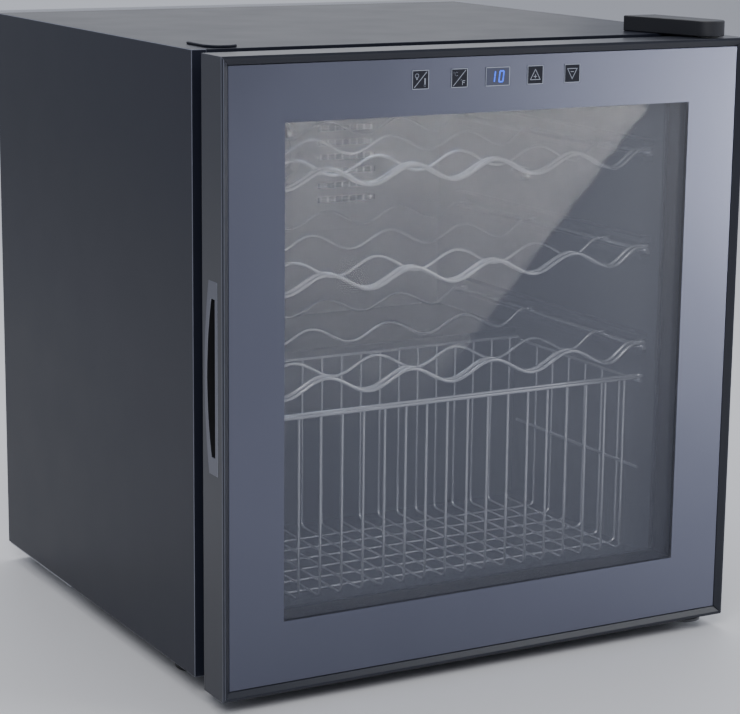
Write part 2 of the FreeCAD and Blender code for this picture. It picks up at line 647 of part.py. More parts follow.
# ---------------------------------------------------------------- basket
def basket():
    """Wire basket: front, back and side grilles standing on a floor grille."""
    r = BASKET_WIRE
    lap = 0.2
    cross_z = INNER_LOW + RUN_CLEAR + r
    floor_z = cross_z + 2 * r - lap
    front = SHELF_Y
    back = SHELF_Y + BASKET_DEPTH
    rail_half = INNER - RAIL_INSET - RAIL_SPREAD / 2 - RAIL_WIRE
    xs = [(i - (BASKET_BARS - 1) / 2) * BASKET_PITCH for i in range(BASKET_BARS)]
    side_x = INNER - RAIL_INSET - 2 * r
    wires = [rod(V(x, front + RAIL_SPREAD, floor_z), V(x, back, floor_z), r) for x in xs]
    span = (back - front - RAIL_SPREAD) / (BASKET_CROSS + 1)
    ys = [front + RAIL_SPREAD + span * (i + 1) for i in range(BASKET_CROSS)]
    wires += [rod(V(-side_x, y, cross_z), V(side_x, y, cross_z), r) for y in ys]
    save("basket_floor", fuse(wires))
    foot = floor_z + r + WIRE_SEAT
    rails = [rod(V(-rail_half, y, BASKET_TOP), V(rail_half, y, BASKET_TOP), RAIL_WIRE)
             for y in (front, front + RAIL_SPREAD)]
    middle = front + RAIL_SPREAD / 2
    rails += [u_bend(s * rail_half, middle, BASKET_TOP, RAIL_SPREAD, RAIL_WIRE, s) for s in (-1, 1)]
    bars = [rod(V(x, front + RAIL_SPREAD, foot), V(x, front + RAIL_SPREAD, BASKET_TOP), r) for x in xs]
    save("basket_front", fuse(rails + bars))
    bars = [rod(V(x, back, foot), V(x, back, BASKET_TOP), r) for x in xs]
    bars.append(rod(V(-side_x + 4, back, BASKET_TOP), V(side_x - 4, back, BASKET_TOP), RAIL_WIRE))
    save("basket_back", fuse(bars))
    rim = RAIL_WIRE
    top = BASKET_TOP - RAIL_WIRE - rim - WIRE_SEAT
    low = cross_z + r + WIRE_SEAT
    sides = []
    for side in (-1, 1):
        x = side * (side_x - r)
        posts = [rod(V(x, y, low), V(x, y, top), r) for y in ys]
        rims = [rod(V(x, front - 1.0, z), V(x, back + 1.0, z), rim) for z in (top, (top + low) / 2)]
        sides.append(fuse(posts + rims))
    save("basket_sides", *sides)


# ---------------------------------------------------------------- air duct, fan, lamp and sensor
def fan_centre():
    """Centre of the fan's front face."""
    return V(0, INNER_BACK - DUCT_DEPTH, INNER_TOP - 20 - DUCT_HEIGHT / 2)


def air_duct():
    """Cold plate on the rear wall behind a cover that holds the fan."""
    centre = fan_centre()
    half = DUCT_WIDTH / 2
    low = centre.z - DUCT_HEIGHT / 2
    top = centre.z + DUCT_HEIGHT / 2
    front = centre.y
    fins = [box(-half + 12, half - 12, INNER_BACK - 2, INNER_BACK, low + 8, top - 8)]
    for i in range(9):
        x = -half + 16 + i * (DUCT_WIDTH / 2 - 16 - FAN_FRAME / 2 - 6) / 9
        fins.append(box(x, x + 1.5, INNER_BACK - 14, INNER_BACK - 2, low + 12, top - 12))
        fins.append(box(-x - 1.5, -x, INNER_BACK - 14, INNER_BACK - 2, low + 12, top - 12))
    save("cold_plate", fuse(fins))
    cover = box(-half, half, front, INNER_BACK, low, top)
    cover = cover.cut(box(-half + 2, half - 2, front + 2, INNER_BACK, low + 2, top - 2))
    cover = cover.cut(Part.makeCylinder(FAN_BORE, 2, centre, Y_AXIS))
    for side in (-1, 1):
        for i in range(8):
            z = low + 26 + i * 13
            x0 = side * (half - 18)
            x1 = side * (FAN_FRAME / 2 + 12)
            cover = cover.cut(box(min(x0, x1), max(x0, x1), front, front + 2, z, z + 5))
    save("duct_cover", cover)
    rings = [ring(centre, Y_AXIS, r + 1.0, r - 1.0, 1.6) for r in (12.0, 22.0)]
    rings.append(ring(centre, Y_AXIS, FAN_BORE - 0.1, FAN_BORE - 2.0, 1.6))
    for i in range(3):
        arm = box(-FAN_BORE + 1.0, FAN_BORE - 1.0, centre.y, centre.y + 1.6, centre.z - 1, centre.z + 1)
        arm.rotate(centre, Y_AXIS, 60 * i)
        rings.append(arm)
    save("fan_guard", fuse(rings))


def fan():
    """Frame, struts and motor of the fan, and its rotor on a fixed shaft."""
    centre = fan_centre() + V(0, 2, 0)
    half = FAN_FRAME / 2
    frame = box(-half, half, centre.y, centre.y + FAN_THICKNESS, centre.z - half, centre.z + half)
    frame = frame.cut(Part.makeCylinder(FAN_BORE, FAN_THICKNESS, centre, Y_AXIS))
    rear = centre + V(0, FAN_THICKNESS - 3, 0)
    motor = Part.makeCylinder(FAN_HUB - 1, 3, rear, Y_AXIS)
    arms = []
    for i in range(2):
        arm = box(-FAN_BORE - 1, FAN_BORE + 1, rear.y, rear.y + 2, centre.z - 2, centre.z + 2)
        arm.rotate(centre, Y_AXIS, 45 + 90 * i)
        arms.append(arm)
    shaft = Part.makeCylinder(FAN_SHAFT, FAN_THICKNESS - 4, centre + V(0, 1.0, 0), Y_AXIS)
    save("fan_frame", fuse([frame, motor, shaft] + arms))
    start = centre + V(0, 2, 0)
    length = FAN_THICKNESS - 3 - 2 - 0.5
    hub = Part.makeCylinder(FAN_HUB, length, start, Y_AXIS)
    blades = [hub]
    for i in range(FAN_BLADES):
        blade = box(FAN_HUB - 1.5, FAN_TIP, start.y + 4.2, start.y + 5.8, -9.0, 9.0)
        blade.rotate(V(0, start.y + 5, 0), X_AXIS, 26)
        blade.rotate(V(0, 0, 0), Y_AXIS, i * 360 / FAN_BLADES)
        blade.translate(V(0, 0, centre.z))
        blades.append(blade)
    sweep_room = Part.makeCylinder(FAN_TIP, length, start, Y_AXIS)
    rotor = fuse(blades).common(sweep_room)
    save("fan_rotor", rotor.cut(Part.makeCylinder(FAN_SHAFT + FAN_FIT, length, start, Y_AXIS)))


def lamp():
    """Light strip and its diffuser under the cabinet's ceiling."""
    y = CAB_FRONT + 60.0
    half = LAMP_LENGTH / 2
    save("lamp_board", box(-half + 4, half - 4, y + 4, y + LAMP_WIDTH - 4, INNER_TOP - 2, INNER_TOP))
    lens = box(-half, half, y, y + LAMP_WIDTH, INNER_TOP - LAMP_HEIGHT, INNER_TOP)
    room = box(-half + 2, half - 2, y + 2, y + LAMP_WIDTH - 2, INNER_TOP - LAMP_HEIGHT + 2, INNER_TOP)
    save("lamp_lens", lens.cut(room))


def sensor():
    """Temperature probe in a clip on the liner's right side."""
    y = CAB_FRONT + 200.0
    z = SHELF_VALLEYS[0] - 30.0
    clip = box(INNER - 8, INNER, y, y + 14, z - 5, z + 5)
    clip = clip.cut(Part.makeCylinder(2.6, 14, V(INNER - 4.5, y, z), Y_AXIS))
    save("sensor_clip", clip)
    save("temperature_sensor", Part.makeCylinder(2.5, 26, V(INNER - 4.5, y - 6, z), Y_AXIS))


# ---------------------------------------------------------------- compressor space
def grommet_places(x, y):
    """Four places round a compressor centred at x, y."""
    return [V(x + sx * 56, y + sy * 42, CAB_LOW) for sx in (-1, 1) for sy in (-1, 1)]


def compressor_space():
    """Tray, compressor with its mounts, relay box and the power box with its cord gland."""
    y0 = MACHINE_FRONT + 2
    y1 = CAB_BACK - 2
    span = HALF - SHEET
    tray = box(-span, span, y0, y1, CAB_LOW - 1.5, CAB_LOW)
    lips = [box(-span + 8, span - 8, y, y + 1.5, CAB_LOW - 1.5 - TRAY_LIP, CAB_LOW - 1.5) for y in (y0, y1 - 1.5)]
    tray = fuse([tray] + lips)
    x = 40.0
    y = (MACHINE_FRONT + CAB_BACK) / 2
    plate_z = CAB_LOW + GROMMET_HEIGHT
    base = box(x - 66, x + 66, y - 52, y + 52, plate_z, plate_z + 2.5)
    grommets = []
    bolts = []
    for place in grommet_places(x, y):
        grommets.append(ring(place, Z_AXIS, GROMMET_RADIUS, GROMMET_BORE, GROMMET_HEIGHT))
        hole_low = place - V(0, 0, 1.5)
        base = base.cut(rod(V(place.x, place.y, plate_z), V(place.x, place.y, plate_z + 2.5), GROMMET_BORE))
        tray = tray.cut(rod(hole_low, place, GROMMET_BORE))
        shank = rod(hole_low, V(place.x, place.y, plate_z + 2.5), BOLT_RADIUS)
        head = rod(V(place.x, place.y, plate_z + 2.5), V(place.x, place.y, plate_z + 5.5), BOLT_RADIUS * 1.8)
        bolts.append(fuse([shank, head]))
    save("compressor_tray", tray)
    save("compressor_grommets", *grommets)
    save("compressor_bolts", *bolts)
    low = plate_z + 2.5
    r = COMPRESSOR_RADIUS
    can = Part.makeCylinder(r, COMPRESSOR_HEIGHT, V(x, y, low), Z_AXIS)
    can = can.makeFillet(22.0, [e for e in can.Edges if e.BoundBox.ZMin > low + COMPRESSOR_HEIGHT - 1])
    seam = Part.makeCylinder(r + 2, 4, V(x, y, low + COMPRESSOR_HEIGHT * 0.55), Z_AXIS)
    stub = rod(V(x - 20, y, low + COMPRESSOR_HEIGHT - 6), V(x - 20, y, low + COMPRESSOR_HEIGHT + 9), 3.0)
    save("compressor", fuse([base, can, seam, stub]))
    save("relay_box", box(x - r - 30, x - r - 0.2, y - 20, y + 20, low + 12, low + 56))
    bx = -150.0
    save("power_box", box(bx - 38, bx + 38, CAB_BACK - 66, CAB_BACK - 16, CAB_LOW, CAB_LOW + 52))
    gland_start = V(bx, CAB_BACK - 16, CAB_LOW + 26)
    gland = fuse([Part.makeCylinder(9, 4, gland_start, Y_AXIS), Part.makeCylinder(7, 14, gland_start, Y_AXIS)])
    save("cord_gland", gland.cut(Part.makeCylinder(4, 14, gland_start, Y_AXIS)))
    compressor_pipes(x, y, low)


def compressor_pipes(x, y, low):
    """Hot pipe to the condenser, cold pipe into the insulation, and the drier."""
    r = COMPRESSOR_RADIUS
    coil_y = CAB_BACK + COIL_OFFSET
    coil_x = HALF - 60.0
    start_z = coil_bottom()
    port_z = low + 30.0
    gap = WIRE_SEAT
    hot_end = V(coil_x, coil_y, start_z - PIPE_RADIUS - gap)
    hot = [V(x + r + gap, y, port_z), V(coil_x, y, port_z), V(coil_x, coil_y, port_z), hot_end]
    hot_pipe = bent_tube(hot, PIPE_RADIUS, 14.0)
    up = MACHINE_TOP - gap
    cold_z = low + COMPRESSOR_HEIGHT * 0.4
    cold = [V(x - 10, y + r + gap, cold_z), V(x - 10, y + r + 18, cold_z), V(x - 10, y + r + 18, up)]
    save("refrigerant_pipes", hot_pipe, bent_tube(cold, PIPE_RADIUS + 0.8, 10.0))
    drier_y = MACHINE_FRONT + 25.0
    drier_x = -60.0
    body = rod(V(drier_x, drier_y, CAB_LOW), V(drier_x, drier_y, CAB_LOW + 90), 9.0)
    necks = [rod(V(drier_x, drier_y, CAB_LOW + 90), V(drier_x, drier_y, up), 1.6)]
    save("filter_drier", fuse([body] + necks))


# ---------------------------------------------------------------- condenser
def coil_bottom():
    """Height of the condenser's lowest run."""
    return CAB_TOP - 50.0 - (COIL_RUNS - 1) * COIL_PITCH


def condenser():
    """Serpentine tube, its upright wires, its clips and the wall spacers."""
    y = CAB_BACK + COIL_OFFSET
    bend = COIL_PITCH / 2
    half = HALF - 60.0 - bend
    low = coil_bottom()
    points = []
    for i in range(COIL_RUNS):
        way = 1 if i % 2 == 0 else -1
        z = low + i * COIL_PITCH
        points += [(way * half, z), (-way * half, z)]
    edges = [Part.makeLine(V(points[0][0] + bend, y, low), V(points[1][0], y, low))]
    for i in range(1, COIL_RUNS):
        x, z = points[2 * i - 1]
        side = 1 if x > 0 else -1
        middle = V(x + side * bend, y, z + bend)
        edges.append(Part.Arc(V(x, y, z), middle, V(x, y, z + COIL_PITCH)).toShape())
        edges.append(Part.makeLine(V(x, y, z + COIL_PITCH), V(points[2 * i + 1][0], y, z + COIL_PITCH)))
    save("condenser_coil", sweep(edges, V(points[0][0] + bend, y, low), V(-1, 0, 0), PIPE_RADIUS))
    wire_y = y + PIPE_RADIUS + COIL_WIRE + WIRE_SEAT
    top = low + (COIL_RUNS - 1) * COIL_PITCH + 12
    bottom = low - 12
    wires = []
    for i in range(COIL_BARS):
        x = -half + 2 * half * i / (COIL_BARS - 1)
        wires.append(rod(V(x, wire_y, bottom), V(x, wire_y, top), COIL_WIRE))
    for z in (bottom, top):
        wires.append(rod(V(-half - 3, wire_y, z), V(half + 3, wire_y, z), COIL_WIRE + 0.4))
    save("condenser_wires", fuse(wires))
    clips = []
    for sx in (-1, 1):
        for run in (1, COIL_RUNS - 2):
            x = sx * (half - 30)
            z = low + run * COIL_PITCH
            clips.append(box(x - 6, x + 6, CAB_BACK, y - PIPE_RADIUS - WIRE_SEAT, z - 8, z + 8))
    save("condenser_clips", *clips)
    spacers = []
    for sx in (-1, 1):
        x = sx * (HALF - 30.0)
        foot = box(x - 12, x + 12, CAB_BACK, CAB_BACK + 3, CAB_TOP - 34, CAB_TOP - 10)
        post = box(x - 5, x + 5, CAB_BACK + 3, CAB_BACK + REAR_STAND_OFF, CAB_TOP - 27, CAB_TOP - 17)
        spacers.append(fuse([foot, post]))
    save("wall_spacers", *spacers)


# ---------------------------------------------------------------- feet
def feet():
    """Two screw feet at the front, their sockets, and two fixed feet at the back."""
    y = foot_y()
    low = CAB_LOW + SHEET
    sockets = []
    for x, name in zip(foot_places(), ("left", "right")):
        sockets.append(ring(V(x, y, low), Z_AXIS, SOCKET_RADIUS, STUD_RADIUS + STUD_FIT, SOCKET_HEIGHT))
        pad = Part.makeCylinder(FOOT_RADIUS, FOOT_HEIGHT, V(x, y, 0), Z_AXIS)
        pad = pad.makeChamfer(1.5, [e for e in pad.Edges if e.Length > 2 * math.pi * FOOT_RADIUS - 1])
        stud = rod(V(x, y, FOOT_HEIGHT), V(x, y, low + SOCKET_HEIGHT - 2), STUD_RADIUS)
        save("levelling_foot_" + name, fuse([pad, stud]))
    save("foot_sockets", *sockets)
    rear = []
    for x in foot_places():
        place = V(x, CAB_BACK - REAR_FOOT_BACK, 0)
        rear.append(Part.makeCylinder(REAR_FOOT_RADIUS, CAB_LOW - 1.5, place, Z_AXIS))
    save("rear_feet", *rear)


def main():
    """Write every piece."""
    os.makedirs("parts", exist_ok=True)
    cabinet_panels()
    insulation()
    liner()
    shelf_ribs()
    door_frame()
    grip()
    door_glass()
    door_trim()
    door_seal()
    touch_controls()
    hinges()
    bushes()
    spare_cap()
    for index, valley in enumerate(SHELF_VALLEYS, 1):
        shelf(index, valley)
    basket()
    air_duct()
    fan()
    lamp()
    sensor()
    compressor_space()
    condenser()
    feet()


main()
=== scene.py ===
"""Looks of the compressor wine cooler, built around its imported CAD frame.

Lengths are metres in the frame's axes: +X towards the hinge, -Y towards the room, +Z up.
"""
import json
import logging
import math
from dataclasses import dataclass, field
from enum import Enum

import bmesh
import bpy
import numpy as np
from mathutils import Matrix, Vector

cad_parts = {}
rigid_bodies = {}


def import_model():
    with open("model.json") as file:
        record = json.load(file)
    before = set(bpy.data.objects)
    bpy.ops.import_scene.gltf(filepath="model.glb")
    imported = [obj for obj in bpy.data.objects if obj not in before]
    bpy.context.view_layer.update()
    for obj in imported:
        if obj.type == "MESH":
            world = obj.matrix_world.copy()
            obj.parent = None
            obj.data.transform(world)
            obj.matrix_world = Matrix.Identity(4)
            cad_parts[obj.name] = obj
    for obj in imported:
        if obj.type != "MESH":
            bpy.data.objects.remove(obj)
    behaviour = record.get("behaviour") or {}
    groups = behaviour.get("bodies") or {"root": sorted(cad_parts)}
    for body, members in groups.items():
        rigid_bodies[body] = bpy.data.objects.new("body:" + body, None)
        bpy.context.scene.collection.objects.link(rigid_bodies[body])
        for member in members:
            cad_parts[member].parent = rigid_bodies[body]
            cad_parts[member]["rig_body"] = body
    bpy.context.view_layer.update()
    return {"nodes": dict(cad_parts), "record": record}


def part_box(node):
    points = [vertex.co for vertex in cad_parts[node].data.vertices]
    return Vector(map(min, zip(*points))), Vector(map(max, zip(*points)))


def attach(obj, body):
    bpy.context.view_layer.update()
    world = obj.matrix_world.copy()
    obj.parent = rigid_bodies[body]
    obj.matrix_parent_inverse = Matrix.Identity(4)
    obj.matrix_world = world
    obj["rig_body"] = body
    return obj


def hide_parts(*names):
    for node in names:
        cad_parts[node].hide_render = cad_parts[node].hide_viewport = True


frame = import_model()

LOG = logging.getLogger("wine_cooler")
MM = 0.001
WELD = 1e-6                        # corners nearer than this are one corner
FLAT = math.radians(0.4)           # faces closer to one plane than this are joined
CREASE = math.radians(32.0)        # edges sharper than this stay crisp
WIRE_SIDES = 12                    # faces round a wire
GLASS_IOR = 1.52
COAT_ROUGHNESS = 0.12
SPACER_BAR = 7.7 * MM              # width of the glass spacer's bars
FINE_DETAIL = 2.0                  # layers in a grain's noise
SLOT_OF = {part["node"]: part["material_slot"] for part in frame["record"]["subparts"]}

Colour = tuple[float, float, float]


class Grain(Enum):
    """Kinds of fine relief that a finish can have."""

    PEEL = "rolling paint or moulded skin"
    BRUSHED_X = "lines along the width"
    BRUSHED_Z = "lines along the height"
    SPANGLE = "zinc crystals"


# ------------------------------------------------------------------ shader maths
class Signal:
    """One output in a material's nodes; arithmetic on it adds Math nodes."""

    def __init__(self, ink: "Nodes", socket: bpy.types.NodeSocket) -> None:
        """Keeps the output and the tree it belongs to."""
        self.ink = ink
        self.socket = socket

    def _math(self, operation: str, first: "Signal | float",
              second: "Signal | float" = 0.0) -> "Signal":
        """Adds one Math node on two values."""
        return self.ink.node("ShaderNodeMath", {"operation": operation}, {0: first, 1: second})

    def __add__(self, other: "Signal | float") -> "Signal":
        """Sum."""
        return self._math("ADD", self, other)

    def __sub__(self, other: "Signal | float") -> "Signal":
        """Difference."""
        return self._math("SUBTRACT", self, other)

    def __rsub__(self, other: float) -> "Signal":
        """Difference from a plain number."""
        return self._math("SUBTRACT", other, self)

    def __mul__(self, other: "Signal | float") -> "Signal":
        """Product."""
        return self._math("MULTIPLY", self, other)

    __rmul__ = __mul__

    def __gt__(self, other: "Signal | float") -> "Signal":
        """One where this is the larger value, otherwise zero."""
        return self._math("GREATER_THAN", self, other)

    def __abs__(self) -> "Signal":
        """Size without its sign."""
        return self._math("ABSOLUTE", self)

    def larger(self, other: "Signal | float") -> "Signal":
        """The larger of two values."""
        return self._math("MAXIMUM", self, other)


class Nodes:
    """A node tree that is written as expressions."""

    def __init__(self, tree: bpy.types.NodeTree) -> None:
        """Keeps the tree."""
        self.tree = tree

    def feed(self, socket: bpy.types.NodeSocket, value: "Signal | float | tuple") -> None:
        """Links a signal to a socket, or sets the socket's own constant."""
        if isinstance(value, Signal):
            self.tree.links.new(value.socket, socket)
        elif socket.type == "RGBA":
            socket.default_value = (*value[:3], 1.0)
        else:
            socket.default_value = value

    def node(self, kind: str, settings: dict | None = None, inputs: dict | None = None,
             output: int | str = 0) -> Signal:
        """Adds one node.

        Args:
            kind: the node's type.
            settings: its own settings.
            inputs: values or signals for its sockets, by name or place.
            output: which output to give back.

        Returns:
            The chosen output.
        """
        made = self.tree.nodes.new(kind)
        for key, value in (settings or {}).items():
            setattr(made, key, value)
        for key, value in (inputs or {}).items():
            self.feed(made.inputs[key], value)
        return Signal(self, made.outputs[output])

    def split(self, vector: Signal) -> tuple[Signal, Signal, Signal]:
        """A vector's three numbers."""
        outputs = self.node("ShaderNodeSeparateXYZ", {}, {0: vector}).socket.node.outputs
        return tuple(Signal(self, outputs[i]) for i in range(3))


class Ink(Nodes):
    """A material with one Principled shader and the nodes that feed it."""

    def __init__(self, name: str) -> None:
        """Makes an empty material.

        Args:
            name: the material's name.
        """
        self.material = bpy.data.materials.new(name)
        self.material.use_nodes = True
        super().__init__(self.material.node_tree)
        self.tree.nodes.clear()
        self.shader = self.tree.nodes.new("ShaderNodeBsdfPrincipled")
        target = self.tree.nodes.new("ShaderNodeOutputMaterial")
        self.tree.links.new(self.shader.outputs[0], target.inputs[0])

    def place(self) -> Signal:
        """Object coordinates, in metres."""
        return self.node("ShaderNodeTexCoord", output="Object")

    def axes(self) -> tuple[Signal, Signal, Signal]:
        """Object coordinates as three numbers."""
        return self.split(self.place())

    def noise(self, scale: float, detail: float = 3.0,
              stretch: tuple[float, float, float] = (1, 1, 1)) -> Signal:
        """Cloudy noise.

        Args:
            scale: clouds per metre.
            detail: how many finer layers it has.
            stretch: factors on the three axes.

        Returns:
            A value around one half.
        """
        spot = self.node("ShaderNodeMapping", {}, {"Vector": self.place(), "Scale": stretch})
        return self.node("ShaderNodeTexNoise", {}, {"Vector": spot, "Scale": scale, "Detail": detail})

    def spangle(self, scale: float) -> Signal:
        """Crystal-like patches, each in one random shade."""
        return self.node("ShaderNodeTexVoronoi", {}, {"Vector": self.place(), "Scale": scale}, "Color")

    def mix(self, factor: "Signal | float", first: "Signal | Colour", second: "Signal | Colour") -> Signal:
        """Blend of two colours."""
        return self.node("ShaderNodeMix", {"data_type": "RGBA"}, {0: factor, 6: first, 7: second}, 2)

    def bump(self, height: Signal, distance: float) -> Signal:
        """Bumped normal from a height between 0 and 1, with its real depth in metres."""
        return self.node("ShaderNodeBump", {}, {"Strength": 1.0, "Distance": distance, "Height": height})

    def shade(self, values: dict) -> None:
        """Feeds the Principled shader's sockets by name."""
        for key, value in values.items():
            self.feed(self.shader.inputs[key], value)


# ------------------------------------------------------------------ finishes
@dataclass(frozen=True)
class Finish:
    """A finish: two close shades in soft patches, a roughness that wanders, and a fine grain."""

    name: str
    colour: Colour
    tint: Colour
    roughness: float
    metallic: float = 0.0
    coat: float = 0.0
    grain: Grain = Grain.PEEL
    cells: float = 420.0           # grain cells in a metre
    relief: float = 0.03 * MM      # depth of the grain
    patches: float = 22.0          # colour patches in a metre
    spread: float = 0.08           # how far the roughness wanders
    gloss: float = 0.5             # strength of the plain reflection

    def relief_pattern(self, ink: Ink) -> Signal:
        """Height pattern of the grain."""
        if self.grain is Grain.SPANGLE:
            return ink.spangle(self.cells)
        lines = {Grain.BRUSHED_X: (0.02, 1, 1), Grain.BRUSHED_Z: (1, 1, 0.02)}
        return ink.noise(self.cells, FINE_DETAIL, lines.get(self.grain, (1, 1, 1)))

    def extra(self, ink: Ink) -> None:
        """Room for what one finish has beyond the rest."""

    def make(self) -> bpy.types.Material:
        """Builds the material.

        Returns:
            The finished material.
        """
        ink = Ink(self.name)
        patch = ink.spangle(self.patches) if self.grain is Grain.SPANGLE else ink.noise(self.patches)
        ink.shade({
            "Base Color": ink.mix(patch, self.colour, self.tint),
            "Roughness": self.spread * (patch - 0.5) + self.roughness,
            "Metallic": self.metallic,
            "Coat Weight": self.coat,
            "Coat Roughness": COAT_ROUGHNESS,
            "Specular IOR Level": self.gloss,
            "Normal": ink.bump(self.relief_pattern(ink), self.relief),
        })
        self.extra(ink)
        return ink.material


@dataclass(frozen=True)
class Window:
    """The clear part of the door's glass."""

    half_width: float
    low: float
    top: float

    @classmethod
    def of_spacer(cls, bar: float) -> "Window":
        """Reads it from the spacer frame, whose bars are `bar` wide."""
        low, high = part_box("glass_spacer")
        return cls(high.x - bar, low.z + bar, high.z - bar)


@dataclass(frozen=True)
class PrintedGlass(Finish):
    """Tinted pane with a satin silver border printed behind it, clear inside the window."""

    window: Window = field(kw_only=True)
    clear_alpha: float = 0.20
    clear_colour: Colour = (0.085, 0.093, 0.13)
    border_metal: float = 0.85
    edge: float = 0.4 * MM         # softness of the print's edge

    def extra(self, ink: Ink) -> None:
        """Distance outside the window's rectangle, turned into a mask for the print."""
        x, _, z = ink.axes()
        middle = (self.window.low + self.window.top) / 2
        half = (self.window.top - self.window.low) / 2
        outside = (abs(x) - self.window.half_width).larger(abs(z - middle) - half)
        printed = ink.node("ShaderNodeMath", {"operation": "MULTIPLY_ADD", "use_clamp": True},
                           {0: outside, 1: 1.0 / self.edge, 2: 0.5})
        print_colour = ink.mix(ink.noise(self.patches), self.colour, self.tint)
        ink.shade({
            "Base Color": ink.mix(printed, self.clear_colour, print_colour),
            "Metallic": printed * self.border_metal,
            "Alpha": printed * (1.0 - self.clear_alpha) + self.clear_alpha,
            "IOR": GLASS_IOR,
        })


@dataclass(frozen=True)
class ClearGlass(Finish):
    """Thin clear pane with a faint film."""

    alpha: float = 0.12
    film: float = 0.02             # how far the film's alpha wanders

    def extra(self, ink: Ink) -> None:
        """Film that is a little uneven."""
        film = ink.noise(self.patches) * self.film
        ink.shade({"Alpha": film + (self.alpha - self.film / 2), "IOR": GLASS_IOR})


@dataclass(frozen=True)
class Glow(Finish):
    """Finish that gives light."""

    light: Colour = field(kw_only=True)
    strength: float = field(kw_only=True)
    dimmed: float = 0.8            # share of the light that is left in the weakest patches

    def extra(self, ink: Ink) -> None:
        """Even glow, a little weaker in patches."""
        dim = tuple(self.dimmed * part for part in self.light)
        ink.shade({
            "Emission Color": ink.mix(ink.noise(self.patches), dim, self.light),
            "Emission Strength": self.strength,
        })


@dataclass(frozen=True)
class GripMetal(Finish):
    """Metal rim, with the pocket behind it painted near black as painted shade."""

    # near-black painted shade inside the pocket
    pocket: Colour = (0.006, 0.006, 0.008)
    pocket_roughness: float = 0.3  # how much rougher the pocket is than the rim
    rim: float = 0.9 * MM

    def extra(self, ink: Ink) -> None:
        """Everything deeper than the rim is painted near black and not metallic: painted shade in the pocket.
        """
        x, _, _ = ink.axes()
        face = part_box("grip_pocket")[0].x
        deep = x > (face + self.rim)
        metal = ink.mix(ink.noise(self.patches), self.colour, self.tint)
        ink.shade({
            # Painted shade: near black wherever the pocket is deeper than the rim.
            "Base Color": ink.mix(deep, metal, self.pocket),
            "Metallic": 1.0 - deep,
            "Roughness": deep * self.pocket_roughness + self.roughness,
        })


@dataclass(frozen=True)
class KeyFields(Finish):
    """Dark keys, with the display between them in grey."""

    display: Colour = (0.085, 0.092, 0.135)
    display_half: float = 12.0 * MM

    def extra(self, ink: Ink) -> None:
        """Grey near the door's middle, dark elsewhere."""
        x, _, _ = ink.axes()
        key = ink.mix(ink.noise(self.patches), self.colour, self.tint)
        ink.shade({"Base Color": ink.mix(abs(x) > self.display_half, self.display, key)})


FINISHES: dict[str, Finish] = {finish.name: finish for finish in (
    Finish("cabinet_paint", (0.013, 0.015, 0.025), (0.017, 0.019, 0.030), 0.36, relief=0.012 * MM,
           gloss=0.16),
    Finish("plain_steel", (0.36, 0.37, 0.39), (0.48, 0.49, 0.51), 0.42, metallic=1.0, grain=Grain.SPANGLE,
           cells=160.0, relief=0.01 * MM, patches=120.0, spread=0.2),
    Finish("foam", (0.72, 0.62, 0.36), (0.80, 0.72, 0.48), 0.9, cells=700.0, relief=0.3 * MM),
    Finish("liner_plastic", (0.050, 0.053, 0.066), (0.060, 0.064, 0.080), 0.50, cells=1100.0,
           relief=0.008 * MM),
    Finish("door_frame_paint", (0.012, 0.014, 0.022), (0.016, 0.018, 0.028), 0.30, relief=0.006 * MM,
           cells=600.0, gloss=0.4),
    PrintedGlass("outer_glass", (0.096, 0.102, 0.140), (0.104, 0.110, 0.150), 0.34, relief=0.002 * MM,
                 patches=9.0, window=Window.of_spacer(SPACER_BAR)),
    ClearGlass("clear_glass", (0.02, 0.022, 0.028), (0.03, 0.033, 0.04), 0.02, relief=0.0005 * MM,
               spread=0.01),
    Finish("spacer_aluminium", (0.60, 0.61, 0.63), (0.68, 0.69, 0.71), 0.35, metallic=1.0,
           grain=Grain.BRUSHED_X, cells=2500.0, relief=0.01 * MM),
    Finish("seal_rubber", (0.010, 0.010, 0.012), (0.016, 0.016, 0.018), 0.62, cells=1500.0, relief=0.02 * MM),
    # The grip's pocket is painted near black as painted shade.
    GripMetal("grip_metal", (0.115, 0.12, 0.145), (0.135, 0.14, 0.17), 0.28, metallic=1.0,
              grain=Grain.BRUSHED_Z, cells=2500.0, relief=0.004 * MM),
    Finish("board", (0.006, 0.060, 0.030), (0.010, 0.085, 0.042), 0.35, cells=900.0, patches=300.0),
    KeyFields("key_print", (0.012, 0.013, 0.020), (0.016, 0.017, 0.026), 0.25, relief=0.002 * MM),
    Finish("black_plastic", (0.012, 0.013, 0.017), (0.020, 0.021, 0.026), 0.42, cells=1400.0),
    Glow("lens", (0.85, 0.90, 1.0), (0.90, 0.94, 1.0), 0.40, light=(0.80, 0.88, 1.0), strength=9.0),
    Finish("bush_plastic", (0.70, 0.70, 0.66), (0.78, 0.78, 0.74), 0.40, cells=1200.0, relief=0.01 * MM),
    Finish("bracket_steel", (0.018, 0.020, 0.026), (0.026, 0.028, 0.034), 0.38, coat=0.2),
    Finish("zinc_steel", (0.55, 0.57, 0.60), (0.66, 0.67, 0.68), 0.30, metallic=1.0, cells=1600.0,
           relief=0.01 * MM, spread=0.15),
    Finish("chrome_wire", (0.68, 0.70, 0.77), (0.78, 0.80, 0.86), 0.24, metallic=0.85, cells=300.0,
           relief=0.01 * MM, patches=60.0),
    Finish("compressor_paint", (0.008, 0.008, 0.010), (0.014, 0.014, 0.016), 0.25, coat=0.4,
           relief=0.05 * MM),
    Finish("copper", (0.72, 0.33, 0.17), (0.50, 0.21, 0.11), 0.28, metallic=1.0, patches=70.0, spread=0.2),
    Finish("foot_plastic", (0.014, 0.014, 0.016), (0.022, 0.022, 0.024), 0.5, cells=1400.0, relief=0.04 * MM),
)}
